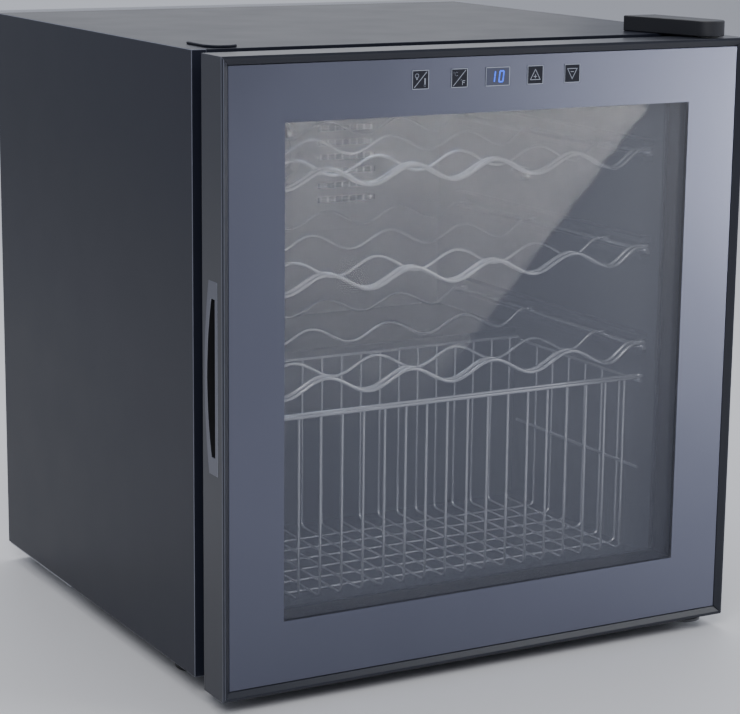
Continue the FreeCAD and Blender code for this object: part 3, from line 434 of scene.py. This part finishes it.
# Lighter paint on the rounded edges of the left door stile and the side panels: a painted highlight line
# along those edges.
EDGE_HIGHLIGHT_PAINT = Finish("painted_edge_highlight", (0.13, 0.14, 0.18), (0.16, 0.17, 0.215), 0.35, gloss=0.4)
# Bright metal on the grip rim's rounded edges: a painted highlight line.
GRIP_HIGHLIGHT_METAL = Finish("painted_grip_highlight", (0.48, 0.50, 0.56), (0.54, 0.56, 0.62), 0.24, metallic=1.0)
PRINT_INK = Finish("print_ink", (0.44, 0.47, 0.56), (0.50, 0.54, 0.64), 0.4)
DIGIT_LIGHT = Glow("digit_light", (0.02, 0.06, 0.5), (0.03, 0.08, 0.6), 0.4,
                   light=(0.03, 0.13, 1.0), strength=1.8)
MATERIALS: dict[str, bpy.types.Material] = {}


def material(finish: Finish) -> bpy.types.Material:
    """The finish's material, made once."""
    if finish.name not in MATERIALS:
        MATERIALS[finish.name] = finish.make()
    return MATERIALS[finish.name]


# ------------------------------------------------------------------ pieces
def show(piece: bpy.types.Object, body: str, finish: Finish, nodes: tuple[str, ...] = ()) -> bpy.types.Object:
    """Dresses a piece, puts it on its body and reports it.

    Args:
        piece: the new object, whose place is in its mesh.
        body: the CAD body that it moves with.
        finish: its finish.
        nodes: the CAD nodes that it stands for.

    Returns:
        The same piece.
    """
    piece.data.materials.clear()
    piece.data.materials.append(material(finish))
    bpy.context.scene.collection.objects.link(piece)
    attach(piece, body)
    if nodes:
        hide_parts(*nodes)
    LOG.info("%s: %d faces on %s, finish %s", piece.name, len(piece.data.polygons), body, finish.name)
    return piece


def smooth(mesh: bpy.types.Mesh) -> None:
    """Shades a mesh smooth, apart from its sharp edges."""
    mesh.shade_smooth()
    mesh.set_sharp_from_angle(angle=CREASE)


def add_bevel(piece: bpy.types.Object, width: float, segments: int = 2) -> None:
    """Rounds a piece's sharp edges by `width`."""
    bevel = piece.modifiers.new("edges", "BEVEL")
    bevel.width = width
    bevel.segments = segments
    bevel.limit_method = "ANGLE"
    bevel.angle_limit = CREASE
    bevel.harden_normals = True


def softened(node: str, edge: float, segments: int = 2, finish: Finish | None = None,
             highlight_edge_finish: Finish | None = None) -> bpy.types.Object:
    """Copy of a CAD node, welded and with its edges rounded, that stands for the node.

    Args:
        node: the CAD node.
        edge: width of its rounded edges, or 0 for none.
        segments: faces across a rounded edge.
        finish: its finish, where it isn't the one of its slot.
        highlight_edge_finish: finish of the rounded edges where it is another, a lighter one that paints a
            highlight line along them.

    Returns:
        The new piece.
    """
    source = frame["nodes"][node]
    mesh = source.data.copy()
    work = bmesh.new()
    work.from_mesh(mesh)
    bmesh.ops.remove_doubles(work, verts=work.verts, dist=WELD)
    bmesh.ops.dissolve_limit(work, angle_limit=FLAT, verts=work.verts, edges=work.edges)
    work.to_mesh(mesh)
    work.free()
    if "custom_normal" in mesh.attributes:
        mesh.attributes.remove(mesh.attributes["custom_normal"])
    smooth(mesh)
    piece = bpy.data.objects.new(f"{node}_shell", mesh)
    if edge > 0:
        add_bevel(piece, edge, segments)
    show(piece, source["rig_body"], finish or FINISHES[SLOT_OF[node]], (node,))
    # Lighter finish on the rounded edges: a painted highlight.
    if highlight_edge_finish:
        mesh.materials.append(material(highlight_edge_finish))
        piece.modifiers["edges"].material = 1
    return piece


def soften_all(edge: float, *nodes: str) -> None:
    """Makes softened copies of CAD nodes that share one edge width."""
    for node in nodes:
        softened(node, edge)


@dataclass
class Surface:
    """Points of a surface and its faces, as whole arrays."""

    points: np.ndarray
    faces: list[list[int]]

    def __add__(self, other: "Surface") -> "Surface":
        """Both surfaces in one."""
        shift = len(self.points)
        moved = [[corner + shift for corner in face] for face in other.faces]
        return Surface(np.concatenate((self.points, other.points)), self.faces + moved)

    def piece(self, name: str) -> bpy.types.Object:
        """Object of this surface, shaded smooth."""
        mesh = bpy.data.meshes.new(name)
        mesh.from_pydata(self.points.tolist(), [], self.faces)
        smooth(mesh)
        return bpy.data.objects.new(name, mesh)


def joined(surfaces: list[Surface]) -> Surface:
    """All surfaces in one."""
    total = surfaces[0]
    for surface in surfaces[1:]:
        total = total + surface
    return total


def unit(vectors: np.ndarray) -> np.ndarray:
    """Vectors of length one."""
    return vectors / np.linalg.norm(vectors, axis=-1, keepdims=True)


def grid_faces(rows: int, columns: int, ring: bool) -> list[list[int]]:
    """Four-cornered faces of a grid whose columns close round, and whose rows do if it is a ring."""
    i, j = np.meshgrid(np.arange(rows if ring else rows - 1), np.arange(columns), indexing="ij")
    ahead, beside = (i + 1) % rows, (j + 1) % columns
    corners = (i * columns + j, i * columns + beside, ahead * columns + beside, ahead * columns + j)
    return np.stack(corners, -1).reshape(-1, 4).tolist()


def tube(path: np.ndarray, radius: float, across: tuple[float, float, float], ring: bool = False) -> Surface:
    """Round wire along a path.

    The surface point at angle a round the path point p is p + radius (u cos a + v sin a), where t is
    the path's direction, u is t x across made unit, and v is t x u.

    Args:
        path: points, one row each.
        radius: the wire's radius.
        across: a direction that the path never runs along.
        ring: whether the path closes on itself.

    Returns:
        The wire's surface, capped unless it is a ring.
    """
    path = np.asarray(path, float)
    ahead = np.roll(path, -1, 0) - np.roll(path, 1, 0) if ring else np.gradient(path, axis=0)
    along = unit(ahead)
    side = unit(np.cross(along, across))
    up = np.cross(along, side)
    angle = np.arange(WIRE_SIDES) * 2 * math.pi / WIRE_SIDES
    around = np.cos(angle)[None, :, None] * side[:, None] + np.sin(angle)[None, :, None] * up[:, None]
    points = (path[:, None] + radius * around).reshape(-1, 3)
    faces = grid_faces(len(path), WIRE_SIDES, ring)
    if not ring:
        last = len(points) - WIRE_SIDES
        faces.append(list(range(WIRE_SIDES))[::-1])
        faces.append(list(range(last, last + WIRE_SIDES)))
    return Surface(points, faces)


def bent(corners: list[tuple[float, float, float]], bend: float, steps: int = 7) -> np.ndarray:
    """Path through square corners, each turned in a quarter circle.

    With unit directions d before and e after a corner c, the arc's point at angle a is
    c + bend (e (1 - cos a) - d (1 - sin a)).

    Args:
        corners: the corners with the two ends.
        bend: radius of each turn.
        steps: points on each turn.

    Returns:
        The path's points.
    """
    rows = np.array(corners, float)
    angle = np.linspace(0, math.pi / 2, steps)[:, None]
    parts = [rows[:1]]
    for before, corner, after in zip(rows[:-2], rows[1:-1], rows[2:]):
        into, out = unit(corner - before), unit(after - corner)
        parts.append(corner + bend * (out * (1 - np.cos(angle)) - into * (1 - np.sin(angle))))
    return np.concatenate([*parts, rows[-1:]])


def half_turn(x: float, y: float, z: float, radius: float, side: int, steps: int = 9) -> np.ndarray:
    """Half circle in a level plane: (x + side r sin a, y - side r cos a, z) for a from 0 to pi."""
    angle = np.linspace(0, math.pi, steps)
    return np.stack((x + side * radius * np.sin(angle), y - side * radius * np.cos(angle),
                     np.full(steps, z)), -1)


def along_y(x: float, y: np.ndarray, z: float) -> np.ndarray:
    """Straight path through all of `y` at one x and z."""
    return np.stack((np.full_like(y, x), y, np.full_like(y, z)), -1)


# ------------------------------------------------------------------ shelves
@dataclass
class WireShelf:
    """Wave-wire shelf: a double front rail, three waves behind it and two side rods."""

    node: str
    body: str
    rail_wire: float = 1.5 * MM
    wave_wire: float = 1.25 * MM
    rod_wire: float = 2.0 * MM
    rail_spread: float = 7.0 * MM
    wave_height: float = 13.5 * MM
    pitch: float = 75.0 * MM
    end_rise: float = 26.0 * MM
    waves_behind: tuple[float, ...] = (58.0 * MM, 170.0 * MM, 285.0 * MM)
    rail_short: float = 4.0 * MM       # rail's straight part ends before the wave wires do
    rod_inset: float = 3.5 * MM        # rods inside the wave wires' ends
    rod_ahead: float = 1.0 * MM        # rods past the front rail
    rod_behind: float = 3.0 * MM       # rods past the last wave
    rod_points: int = 12
    weld: float = 0.05 * MM
    steps: int = 150

    def __post_init__(self) -> None:
        """Reads the shelf's place from its CAD node."""
        low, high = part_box(self.node)
        self.valley = low.z + self.rail_wire
        self.front = low.y + self.rail_wire
        self.reach = high.x

    def wave(self, y: float, valley: float, reach: float) -> np.ndarray:
        """Wave wire's path.

        Between the outer valleys z = valley + height (1 - cos(2 pi x / pitch)) / 2; outside them the same
        half wave is stretched over the end rise, and then the wire is level.
        """
        last = (int(2 * self.reach // self.pitch) // 2) * self.pitch
        x = np.linspace(-reach, reach, self.steps)
        beyond = np.clip(np.abs(x) - last, 0, self.end_rise)
        phase = np.where(np.abs(x) < last, 2 * math.pi * x / self.pitch, math.pi * beyond / self.end_rise)
        z = valley + self.wave_height * (1 - np.cos(phase)) / 2
        return np.stack((x, np.full_like(x, y), z), -1)

    def front_rail(self) -> Surface:
        """Two parallel waves joined by a half turn at each end."""
        radius = self.rail_spread / 2
        reach = self.reach - self.rail_short
        middle = self.front + radius
        level = self.valley + self.wave_height
        near = self.wave(self.front, self.valley, reach)
        far = self.wave(self.front + self.rail_spread, self.valley, reach)[::-1]
        right = half_turn(reach, middle, level, radius, 1)[1:-1]
        left = half_turn(-reach, middle, level, radius, -1)[1:-1]
        return tube(np.concatenate((near, right, far, left)), self.rail_wire, (0, 0, 1), ring=True)

    def rods(self) -> list[Surface]:
        """Straight rods under the waves' level ends."""
        z = self.valley + self.wave_height - self.rail_wire - self.rod_wire - self.weld
        back = self.front + self.waves_behind[-1] + self.rod_behind
        y = np.linspace(self.front - self.rod_ahead, back, self.rod_points)
        x = self.reach - self.rod_inset
        return [tube(along_y(side * x, y, z), self.rod_wire, (0, 0, 1)) for side in (-1, 1)]

    def build(self) -> bpy.types.Object:
        """Builds the shelf as one piece."""
        seat = self.rail_wire - self.wave_wire
        waves = [tube(self.wave(self.front + y, self.valley - seat, self.reach), self.wave_wire, (0, 1, 0))
                 for y in self.waves_behind]
        surface = joined([self.front_rail(), *waves, *self.rods()])
        return show(surface.piece(f"{self.body}_wires"), self.body, FINISHES["chrome_wire"], (self.node,))


@dataclass
class WireBasket:
    """Basket of bent wires: long hoops over the floor, cross hoops, rims and a double front rail."""

    wire: float = 1.2 * MM
    rim_wire: float = 1.5 * MM
    pitch: float = 19.0 * MM
    bars: int = 19
    crosses: int = 6
    rail_spread: float = 7.0 * MM
    bend: float = 5.0 * MM
    weld: float = 0.1 * MM
    back_inset: float = 4.0 * MM   # back rim inside the cross hoops' ends
    rim_past: float = 1.0 * MM     # side rims past the front and the back
    rail_points: int = 30
    rim_points: int = 12

    def __post_init__(self) -> None:
        """Reads the basket's place from its CAD nodes."""
        low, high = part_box("basket_front")
        floor_low, floor_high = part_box("basket_floor")
        self.top = high.z - self.rim_wire
        self.front = low.y + self.rim_wire
        self.rail_reach = high.x - self.rim_wire - self.rail_spread / 2
        self.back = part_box("basket_back")[1].y - self.rim_wire
        self.cross_level = floor_low.z + self.wire
        self.side_reach = floor_high.x - self.wire

    def long_hoops(self) -> list[Surface]:
        """Wires that come down the front, run back along the floor and rise at the back."""
        near = self.front + self.rail_spread
        level = self.cross_level + 2 * self.wire - self.weld
        path = bent([(0, near, self.top), (0, near, level), (0, self.back, level), (0, self.back, self.top)],
                    self.bend)
        places = (np.arange(self.bars) - (self.bars - 1) / 2) * self.pitch
        return [tube(path + (x, 0, 0), self.wire, (1, 0, 0)) for x in places]

    def cross_hoops(self) -> list[Surface]:
        """Wires across the floor whose ends turn up to the side rims."""
        span = (self.back - self.front - self.rail_spread) / (self.crosses + 1)
        x = self.side_reach
        side_top = self.top - 2 * self.rim_wire
        level = self.cross_level
        path = bent([(-x, 0, side_top), (-x, 0, level), (x, 0, level), (x, 0, side_top)], self.bend)
        places = self.front + self.rail_spread + span * np.arange(1, self.crosses + 1)
        return [tube(path + (0, y, 0), self.wire, (0, 1, 0)) for y in places]

    def rims(self) -> list[Surface]:
        """Double front rail, back rim, and an upper and a middle rim on each side."""
        radius = self.rail_spread / 2
        x = np.linspace(-self.rail_reach, self.rail_reach, self.rail_points)
        level = np.full_like(x, self.top)
        near = np.stack((x, np.full_like(x, self.front), level), -1)
        far = near[::-1] + (0, self.rail_spread, 0)
        ends = [half_turn(side * self.rail_reach, self.front + radius, self.top, radius, side)[1:-1]
                for side in (1, -1)]
        rail = tube(np.concatenate((near, ends[0], far, ends[1])), self.rim_wire, (0, 0, 1), ring=True)
        narrowed = (self.side_reach - self.back_inset) / self.rail_reach
        back = tube(near * (narrowed, 0, 1) + (0, self.back, 0), self.rim_wire, (0, 0, 1))
        y = np.linspace(self.front - self.rim_past, self.back + self.rim_past, self.rim_points)
        x_side = self.side_reach - self.wire - self.rim_wire + self.weld
        rim_top = self.top - 2 * self.rim_wire - self.weld
        sides = [tube(along_y(side * x_side, y, z), self.rim_wire, (0, 0, 1))
                 for side in (-1, 1) for z in (rim_top, (rim_top + self.cross_level) / 2)]
        return [rail, back, *sides]

    def build(self) -> bpy.types.Object:
        """Builds the basket as one piece."""
        surface = joined([*self.long_hoops(), *self.cross_hoops(), *self.rims()])
        nodes = ("basket_front", "basket_back", "basket_floor", "basket_sides")
        return show(surface.piece("basket_wires"), "basket", FINISHES["chrome_wire"], nodes)


# ------------------------------------------------------------------ door
@dataclass
class DoorSeal:
    """Magnetic seal: a bellows strip carried round the door's back."""

    width: float = 11.5 * MM
    groove: float = 1.6 * MM       # depth of the bellows' folds
    magnet: float = 4.0 * MM       # thickness of the magnet's bead at the cabinet
    chamfer: float = 1.0 * MM      # cut corners of the bead
    foot_share: float = 0.12       # share of the depth that the foot takes

    def profile(self) -> np.ndarray:
        """Outline across the strip as (outward, depth): a foot, two folds and the magnet's bead."""
        low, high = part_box("door_seal")
        deep = high.y - low.y
        inset = np.array([0.0, self.groove, 0.0, self.groove, 0.0])
        folds = np.linspace(deep * self.foot_share, deep - self.magnet, len(inset))
        outer = np.stack((self.width - inset, folds), -1)
        inner = np.stack((inset, folds), -1)[::-1]
        foot = np.array([(0.0, 0.0), (self.width, 0.0)])
        cut = self.chamfer
        bead = np.array([(self.width, deep - cut), (self.width - cut, deep), (cut, deep), (0.0, deep - cut)])
        return np.concatenate((foot, outer, bead, inner))

    def build(self) -> bpy.types.Object:
        """Carries the profile round the four mitred corners: corner + outward (sx, sz), back by depth."""
        low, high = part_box("door_seal")
        profile = self.profile()
        corners = np.array([(1, -1), (1, 1), (-1, 1), (-1, -1)], float)
        inner_x = high.x - self.width
        middle = (low.z + high.z) / 2
        inner_z = (high.z - low.z) / 2 - self.width
        x = corners[:, :1] * (inner_x + profile[:, 0])
        z = middle + corners[:, 1:] * (inner_z + profile[:, 0])
        y = low.y + np.broadcast_to(profile[:, 1], x.shape)
        points = np.stack((x, y, z), -1).reshape(-1, 3)
        surface = Surface(points, grid_faces(len(corners), len(profile), True))
        piece = surface.piece("door_seal_bellows")
        outward(piece.data)
        return show(piece, "door", FINISHES["seal_rubber"], ("door_seal",))


def outward(mesh: bpy.types.Mesh) -> None:
    """Turns a closed mesh's faces outwards."""
    work = bmesh.new()
    work.from_mesh(mesh)
    bmesh.ops.recalc_face_normals(work, faces=work.faces)
    work.to_mesh(mesh)
    work.free()


@dataclass
class Strokes:
    """Flat printed lines on the glass, in millimetres round one key's middle."""

    weight: float = 0.38
    thick: float = 0.04
    arc_points: int = 13
    lines: list[np.ndarray] = field(default_factory=list)

    def path(self, points: list[tuple[float, float]] | np.ndarray, closed: bool = False) -> "Strokes":
        """Adds a line through the points."""
        rows = np.array(points, float)
        after = np.roll(rows, -1, 0) if closed else rows[1:]
        self.lines.append(np.stack((rows if closed else rows[:-1], after), 1))
        return self

    def arc(self, x: float, z: float, radius: float, start: float = 0.0, end: float = 360.0) -> "Strokes":
        """Adds an arc between two angles in degrees."""
        angle = np.radians(np.linspace(start, end, self.arc_points))
        return self.path(np.stack((x + radius * np.cos(angle), z + radius * np.sin(angle)), -1))

    def surface(self, x: float, face: float, z: float) -> Surface:
        """Thin bars along every line.

        A bar from a to b has corners a - w d +- w n and b + w d +- w n, where d is its direction, n is
        square to it and w is half the weight; it stands `thick` off the face.

        Args:
            x: the key's middle, in metres.
            face: y of the face that they are printed on, in metres.
            z: the key's height, in metres.

        Returns:
            The bars' surface.
        """
        ends = np.concatenate(self.lines)
        along = unit(ends[:, 1] - ends[:, 0]) * self.weight / 2
        square = np.stack((-along[:, 1], along[:, 0]), -1)
        start, end = ends[:, 0] - along, ends[:, 1] + along
        flat = np.stack((start - square, end - square, end + square, start + square), 1) * MM
        depth = np.array((0.0, self.thick)) * MM
        points = np.empty((len(ends), 2, 4, 3))
        points[..., 0] = flat[:, None, :, 0] + x
        points[..., 2] = flat[:, None, :, 1] + z
        points[..., 1] = face - depth[None, ::-1, None]
        box = np.array([(0, 1, 2, 3), (7, 6, 5, 4), (0, 4, 5, 1), (1, 5, 6, 2), (2, 6, 7, 3), (3, 7, 4, 0)])
        faces = (box[None] + 8 * np.arange(len(ends))[:, None, None]).reshape(-1, 4)
        return Surface(points.reshape(-1, 3), faces.tolist())


@dataclass
class TouchPanel:
    """Printed keys and the two-digit display on the door's top border.

    The icons are drawn in millimetres round each key's middle.
    """

    pitch: float = 33.4 * MM
    key: float = 14.0
    display: float = 21.0
    inset: float = 0.2             # outline's middle inside the key's edge
    lean: float = 0.12             # how far the figures lean with their height
    digit_weight: float = 0.95

    def frame_lines(self, wide: float) -> Strokes:
        """Outline round a key."""
        x, z = wide / 2 - self.inset, self.key / 2 - self.inset
        return Strokes().path([(-x, -z), (x, -z), (x, z), (-x, z)], closed=True)

    def parted_key(self) -> Strokes:
        """Outline with a slash that parts two marks."""
        return self.frame_lines(self.key).path([(-5.2, -5.6), (5.2, 5.6)])

    def light_key(self) -> Strokes:
        """Lamp and thermometer parted by a slash."""
        lines = self.parted_key()
        lines.arc(-3.1, 3.0, 1.5).path([(-3.7, 0.9), (-2.5, 0.9)]).path([(-3.5, 0.2), (-2.7, 0.2)])
        return lines.path([(3.5, -3.4), (3.5, 0.8)]).path([(4.1, -3.4), (4.1, 0.8)]).arc(3.8, -4.4, 0.8)

    def unit_key(self) -> Strokes:
        """Two degree marks parted by a slash."""
        lines = self.parted_key()
        lines.arc(-4.9, 4.4, 0.45).arc(-2.6, 3.1, 1.35, 50, 310)
        lines.arc(1.5, -1.6, 0.45).path([(2.6, -5.0), (2.6, -2.0), (4.7, -2.0)])
        return lines.path([(2.6, -3.4), (4.2, -3.4)])

    def arrow_key(self, way: int) -> Strokes:
        """Triangle that points up with a plus, or down with a minus."""
        lines = self.frame_lines(self.key)
        lines.path([(-4.4, -3.6 * way), (4.4, -3.6 * way), (0, 4.2 * way)], closed=True)
        lines.path([(-1.3, -1.2 * way), (1.3, -1.2 * way)])
        return lines.path([(0, -2.5), (0, 0.1)]) if way > 0 else lines

    def digits(self) -> Strokes:
        """Figures 1 and 0 in slanted segments."""
        one, left, right, top, gap = -2.6, 1.45, 4.95, 4.0, 0.6
        segments = [((x, low), (x, high)) for low, high in ((gap - top, -gap), (gap, top - gap))
                    for x in (one, left, right)]
        segments += [((left + gap, z), (right - gap, z)) for z in (-top, top)]
        lines = Strokes(weight=self.digit_weight)
        for segment in segments:
            lines.path([(x + self.lean * z, z) for x, z in segment])
        return lines

    def build(self) -> None:
        """Builds the key fields, their print and the lit figures."""
        low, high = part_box("touch_fields")
        z, face = (low.z + high.z) / 2, low.y
        softened("touch_fields", 0.0)
        prints = ((-2, self.light_key()), (-1, self.unit_key()), (0, self.frame_lines(self.display)),
                  (1, self.arrow_key(1)), (2, self.arrow_key(-1)))
        printed = joined([lines.surface(place * self.pitch, face, z) for place, lines in prints])
        figures = self.digits().surface(0.0, face, z)
        show(printed.piece("key_print"), "door", PRINT_INK)
        show(figures.piece("display_figures"), "door", DIGIT_LIGHT)


@dataclass
class Door:
    """Framed glass door."""

    frame_edge: float = 0.6 * MM
    glass_edge: float = 0.4 * MM
    small_edge: float = 0.3 * MM

    def build(self) -> None:
        """Builds the frame, panes, trim, grip, seal and controls."""
        soften_all(self.frame_edge, "door_stile_right", "door_rail_top", "door_rail_bottom",
                   "door_inner_trim")
        # The left stile's rounded edges carry a painted highlight.
        softened("door_stile_left", self.frame_edge, highlight_edge_finish=EDGE_HIGHLIGHT_PAINT)
        soften_all(self.glass_edge, "outer_glass", "inner_glass")
        # The grip rim's rounded edges carry a painted highlight.
        softened("grip_pocket", self.small_edge, highlight_edge_finish=GRIP_HIGHLIGHT_METAL)
        softened("hinge_bushes", self.small_edge)
        softened("glass_spacer", self.small_edge, finish=FINISHES["black_plastic"])
        softened("touch_board", 0.0)
        DoorSeal().build()
        TouchPanel().build()


# ------------------------------------------------------------------ cabinet
@dataclass
class Cabinet:
    """Steel cabinet with its liner, hinges, spacers and feet."""

    sheet_edge: float = 0.45 * MM
    cover_edge: float = 1.6 * MM
    cover_segments: int = 4
    moulded_edge: float = 0.8 * MM
    small_edge: float = 0.3 * MM

    def build(self) -> None:
        """Builds the cabinet's shells."""
        # The side panels' rounded edges carry a painted highlight.
        for node in ("side_panel_left", "side_panel_right"):
            softened(node, self.sheet_edge, highlight_edge_finish=EDGE_HIGHLIGHT_PAINT)
        soften_all(self.sheet_edge, "top_panel", "bottom_panel", "back_panel", "machine_bulkhead",
                   "inner_liner")
        soften_all(self.moulded_edge, "shelf_ribs", "spare_hinge_cap", "wall_spacers", "rear_feet",
                   "levelling_foot_left", "levelling_foot_right", "power_box", "relay_box", "cord_gland")
        soften_all(self.small_edge, "hinge_brackets", "hinge_pins", "hinge_screws", "foot_sockets",
                   "sensor_clip", "temperature_sensor")
        softened("top_hinge_cover", self.cover_edge, self.cover_segments)


@dataclass
class CoolingParts:
    """Air duct, fan, lamp, compressor and condenser."""

    duct_edge: float = 1.5 * MM
    fan_edge: float = 0.5 * MM
    lens_edge: float = 1.5 * MM
    tray_edge: float = 0.4 * MM
    round_segments: int = 3

    def build(self) -> None:
        """Builds the cooling parts' shells."""
        softened("duct_cover", self.duct_edge, self.round_segments)
        softened("lamp_lens", self.lens_edge, self.round_segments)
        softened("fan_frame", self.fan_edge)
        soften_all(self.tray_edge, "compressor_tray", "compressor_grommets", "compressor_bolts",
                   "condenser_clips")
        soften_all(0.0, "fan_rotor", "fan_guard", "lamp_board", "cold_plate", "compressor",
                   "refrigerant_pipes", "filter_drier", "condenser_coil", "condenser_wires",
                   "foam_insulation")


# ------------------------------------------------------------------ studio
@dataclass
class Softbox:
    """Flat lamp with its place, aim, size and power."""

    name: str
    place: tuple[float, float, float]
    aim: tuple[float, float, float]
    size: tuple[float, float]
    watts: float
    colour: Colour = (1.0, 1.0, 1.0)
    lights_only: tuple[str, ...] = ()

    def build(self) -> bpy.types.Object:
        """Makes the lamp, unseen by the camera.

        Returns:
            The lamp, aimed, with a light that falls only on `lights_only` where any are named.
        """
        lamp = bpy.data.lights.new(self.name, "AREA")
        lamp.shape = "RECTANGLE"
        lamp.size, lamp.size_y = self.size
        lamp.energy = self.watts
        lamp.color = self.colour
        made = bpy.data.objects.new(self.name, lamp)
        made.location = self.place
        way = Vector(self.aim) - Vector(self.place)
        made.rotation_mode = "QUATERNION"
        made.rotation_quaternion = way.to_track_quat("-Z", "Y")
        made.visible_camera = False
        bpy.context.scene.collection.objects.link(made)
        if self.lights_only:
            receivers = bpy.data.collections.new(f"{self.name}_on")
            for piece in self.lights_only:
                receivers.objects.link(bpy.data.objects[piece])
            made.light_linking.receiver_collection = receivers
        return made


@dataclass
class ReflectionCard:
    """Slanted card that the inner pane mirrors as a bright corner with one sharp edge.

    The card stands in front of the door with its long side along the mirrored diagonal. Its light
    grows with the height above the floor, and is none below it.
    """

    edge_middle: tuple[float, float, float] = (0.416, -0.9, 0.0845)
    slope: float = math.radians(47.5)
    length: float = 1.1
    width: float = 0.8
    watts: float = 118.0
    growth: float = 2.7            # growth of its light over a metre of height

    def build(self) -> None:
        """Makes the card, turned about its facing direction, with its graded light.

        At the card's parametric u and v, the height is centre + (u - 1/2) length sin(slope)
        + (v - 1/2) width cos(slope).
        """
        along = Vector((math.cos(self.slope), 0, math.sin(self.slope)))
        square = Vector((-math.sin(self.slope), 0, math.cos(self.slope)))
        centre = Vector(self.edge_middle) + square * (self.width / 2)
        ahead = centre + Vector((0, 1, 0))
        card = Softbox("reflection_card", tuple(centre), tuple(ahead), (self.length, self.width), self.watts,
                       lights_only=("inner_glass_shell",)).build()
        turn = Matrix((along, square, along.cross(square))).transposed()
        card.rotation_quaternion = turn.to_quaternion()
        card.data.use_nodes = True
        nodes = Nodes(card.data.node_tree)
        u, v, _ = nodes.split(nodes.node("ShaderNodeNewGeometry", output="Parametric"))
        rise, lift = self.length * along.z, self.width * square.z
        height = u * rise + v * lift + (centre.z - (rise + lift) / 2)
        emission = card.data.node_tree.nodes["Emission"]
        nodes.feed(emission.inputs["Strength"], (height * self.growth).larger(0.0))


@dataclass
class Studio:
    """Pale floor, soft light and the camera."""

    floor_size: float = 14.0
    lens: float = 113.65
    eye: tuple[float, float, float] = (-0.9334, -1.7242, 0.6336)
    right: tuple[float, float, float] = (0.87503, -0.48396, 0.01056)
    up: tuple[float, float, float] = (0.09404, 0.19135, 0.97701)
    sky: Colour = (0.80, 0.84, 0.95)
    sky_strength: float = 0.48
    sky_slope: float = 0.25            # how much brighter the sky is behind the cabinet
    sky_way: tuple[float, float] = (0.3, 0.7)
    middle: tuple[float, float, float] = (0.0, 0.0, 0.25)

    def floor(self) -> None:
        """Makes the floor."""
        half = self.floor_size / 2
        points = np.array([(-half, -half, 0), (half, -half, 0), (half, half, 0), (-half, half, 0)])
        piece = Surface(points, [[0, 1, 2, 3]]).piece("studio_floor")
        paint = Finish("floor_paint", (0.80, 0.80, 0.82), (0.82, 0.82, 0.84), 0.55, patches=2.0, cells=60.0)
        piece.data.materials.append(material(paint))
        bpy.context.scene.collection.objects.link(piece)

    def lights(self) -> None:
        """Makes the sky and the softboxes."""
        world = bpy.data.worlds.new("studio")
        world.use_nodes = True
        nodes = Nodes(world.node_tree)
        background = world.node_tree.nodes["Background"]
        x, y, _ = nodes.split(nodes.node("ShaderNodeTexCoord", output="Generated"))
        nodes.feed(background.inputs["Color"], self.sky)
        behind = x * self.sky_way[0] + y * self.sky_way[1]
        nodes.feed(background.inputs["Strength"], behind * self.sky_slope + self.sky_strength)
        bpy.context.scene.world = world
        boxes = (
            Softbox("key_box", (-1.7, -2.2, 2.4), self.middle, (1.8, 1.8), 55.0),
            Softbox("fill_box", (2.2, -1.8, 1.9), self.middle, (1.6, 1.6), 30.0, (0.95, 0.97, 1.0)),
            Softbox("top_box", (0.3, 0.9, 2.6), self.middle, (2.2, 1.4), 30.0),
            Softbox("border_card", (1.9, -1.5, 0.17), (0.0, -0.24, 0.3), (0.6, 0.3), 38.0,
                    lights_only=("outer_glass_shell",)),
            Softbox("back_box", (0.8, 2.7, 0.95), (0.0, 0.0, 0.45), (2.2, 1.2), 3.8,
                    lights_only=("top_panel_shell", "door_rail_top_shell", "spare_hinge_cap_shell")),
            Softbox("rack_box", (-0.9, -1.9, 1.5), self.middle, (1.4, 1.4), 70.0,
                    lights_only=("top_shelf_wires", "middle_shelf_wires", "lower_shelf_wires",
                                 "basket_wires")),
        )
        for box in boxes:
            box.build()
        ReflectionCard().build()

    def camera(self) -> None:
        """Makes the camera from its place and its right and up directions."""
        right, up = Vector(self.right).normalized(), Vector(self.up).normalized()
        back = right.cross(up)
        data = bpy.data.cameras.new("camera")
        data.lens = self.lens
        data.sensor_width = 36.0
        data.clip_start = 0.05
        made = bpy.data.objects.new("camera", data)
        turn = Matrix((right, up, back)).transposed().to_4x4()
        made.matrix_world = Matrix.Translation(self.eye) @ turn
        bpy.context.scene.collection.objects.link(made)
        bpy.context.scene.camera = made

    def build(self) -> None:
        """Makes the whole studio."""
        self.camera()
        self.floor()
        self.lights()


def main() -> None:
    """Builds every sub-assembly in order, then the studio."""
    logging.basicConfig(level=logging.INFO, format="%(message)s")
    for name, node in frame["nodes"].items():
        node.data.materials.clear()
        node.data.materials.append(material(FINISHES[SLOT_OF[name]]))
    Cabinet().build()
    CoolingParts().build()
    for number, body in enumerate(("top_shelf", "middle_shelf", "lower_shelf"), 1):
        WireShelf(f"shelf_{number}", body).build()
    WireBasket().build()
    Door().build()
    Studio().build()


if __name__ == "__main__":
    main()
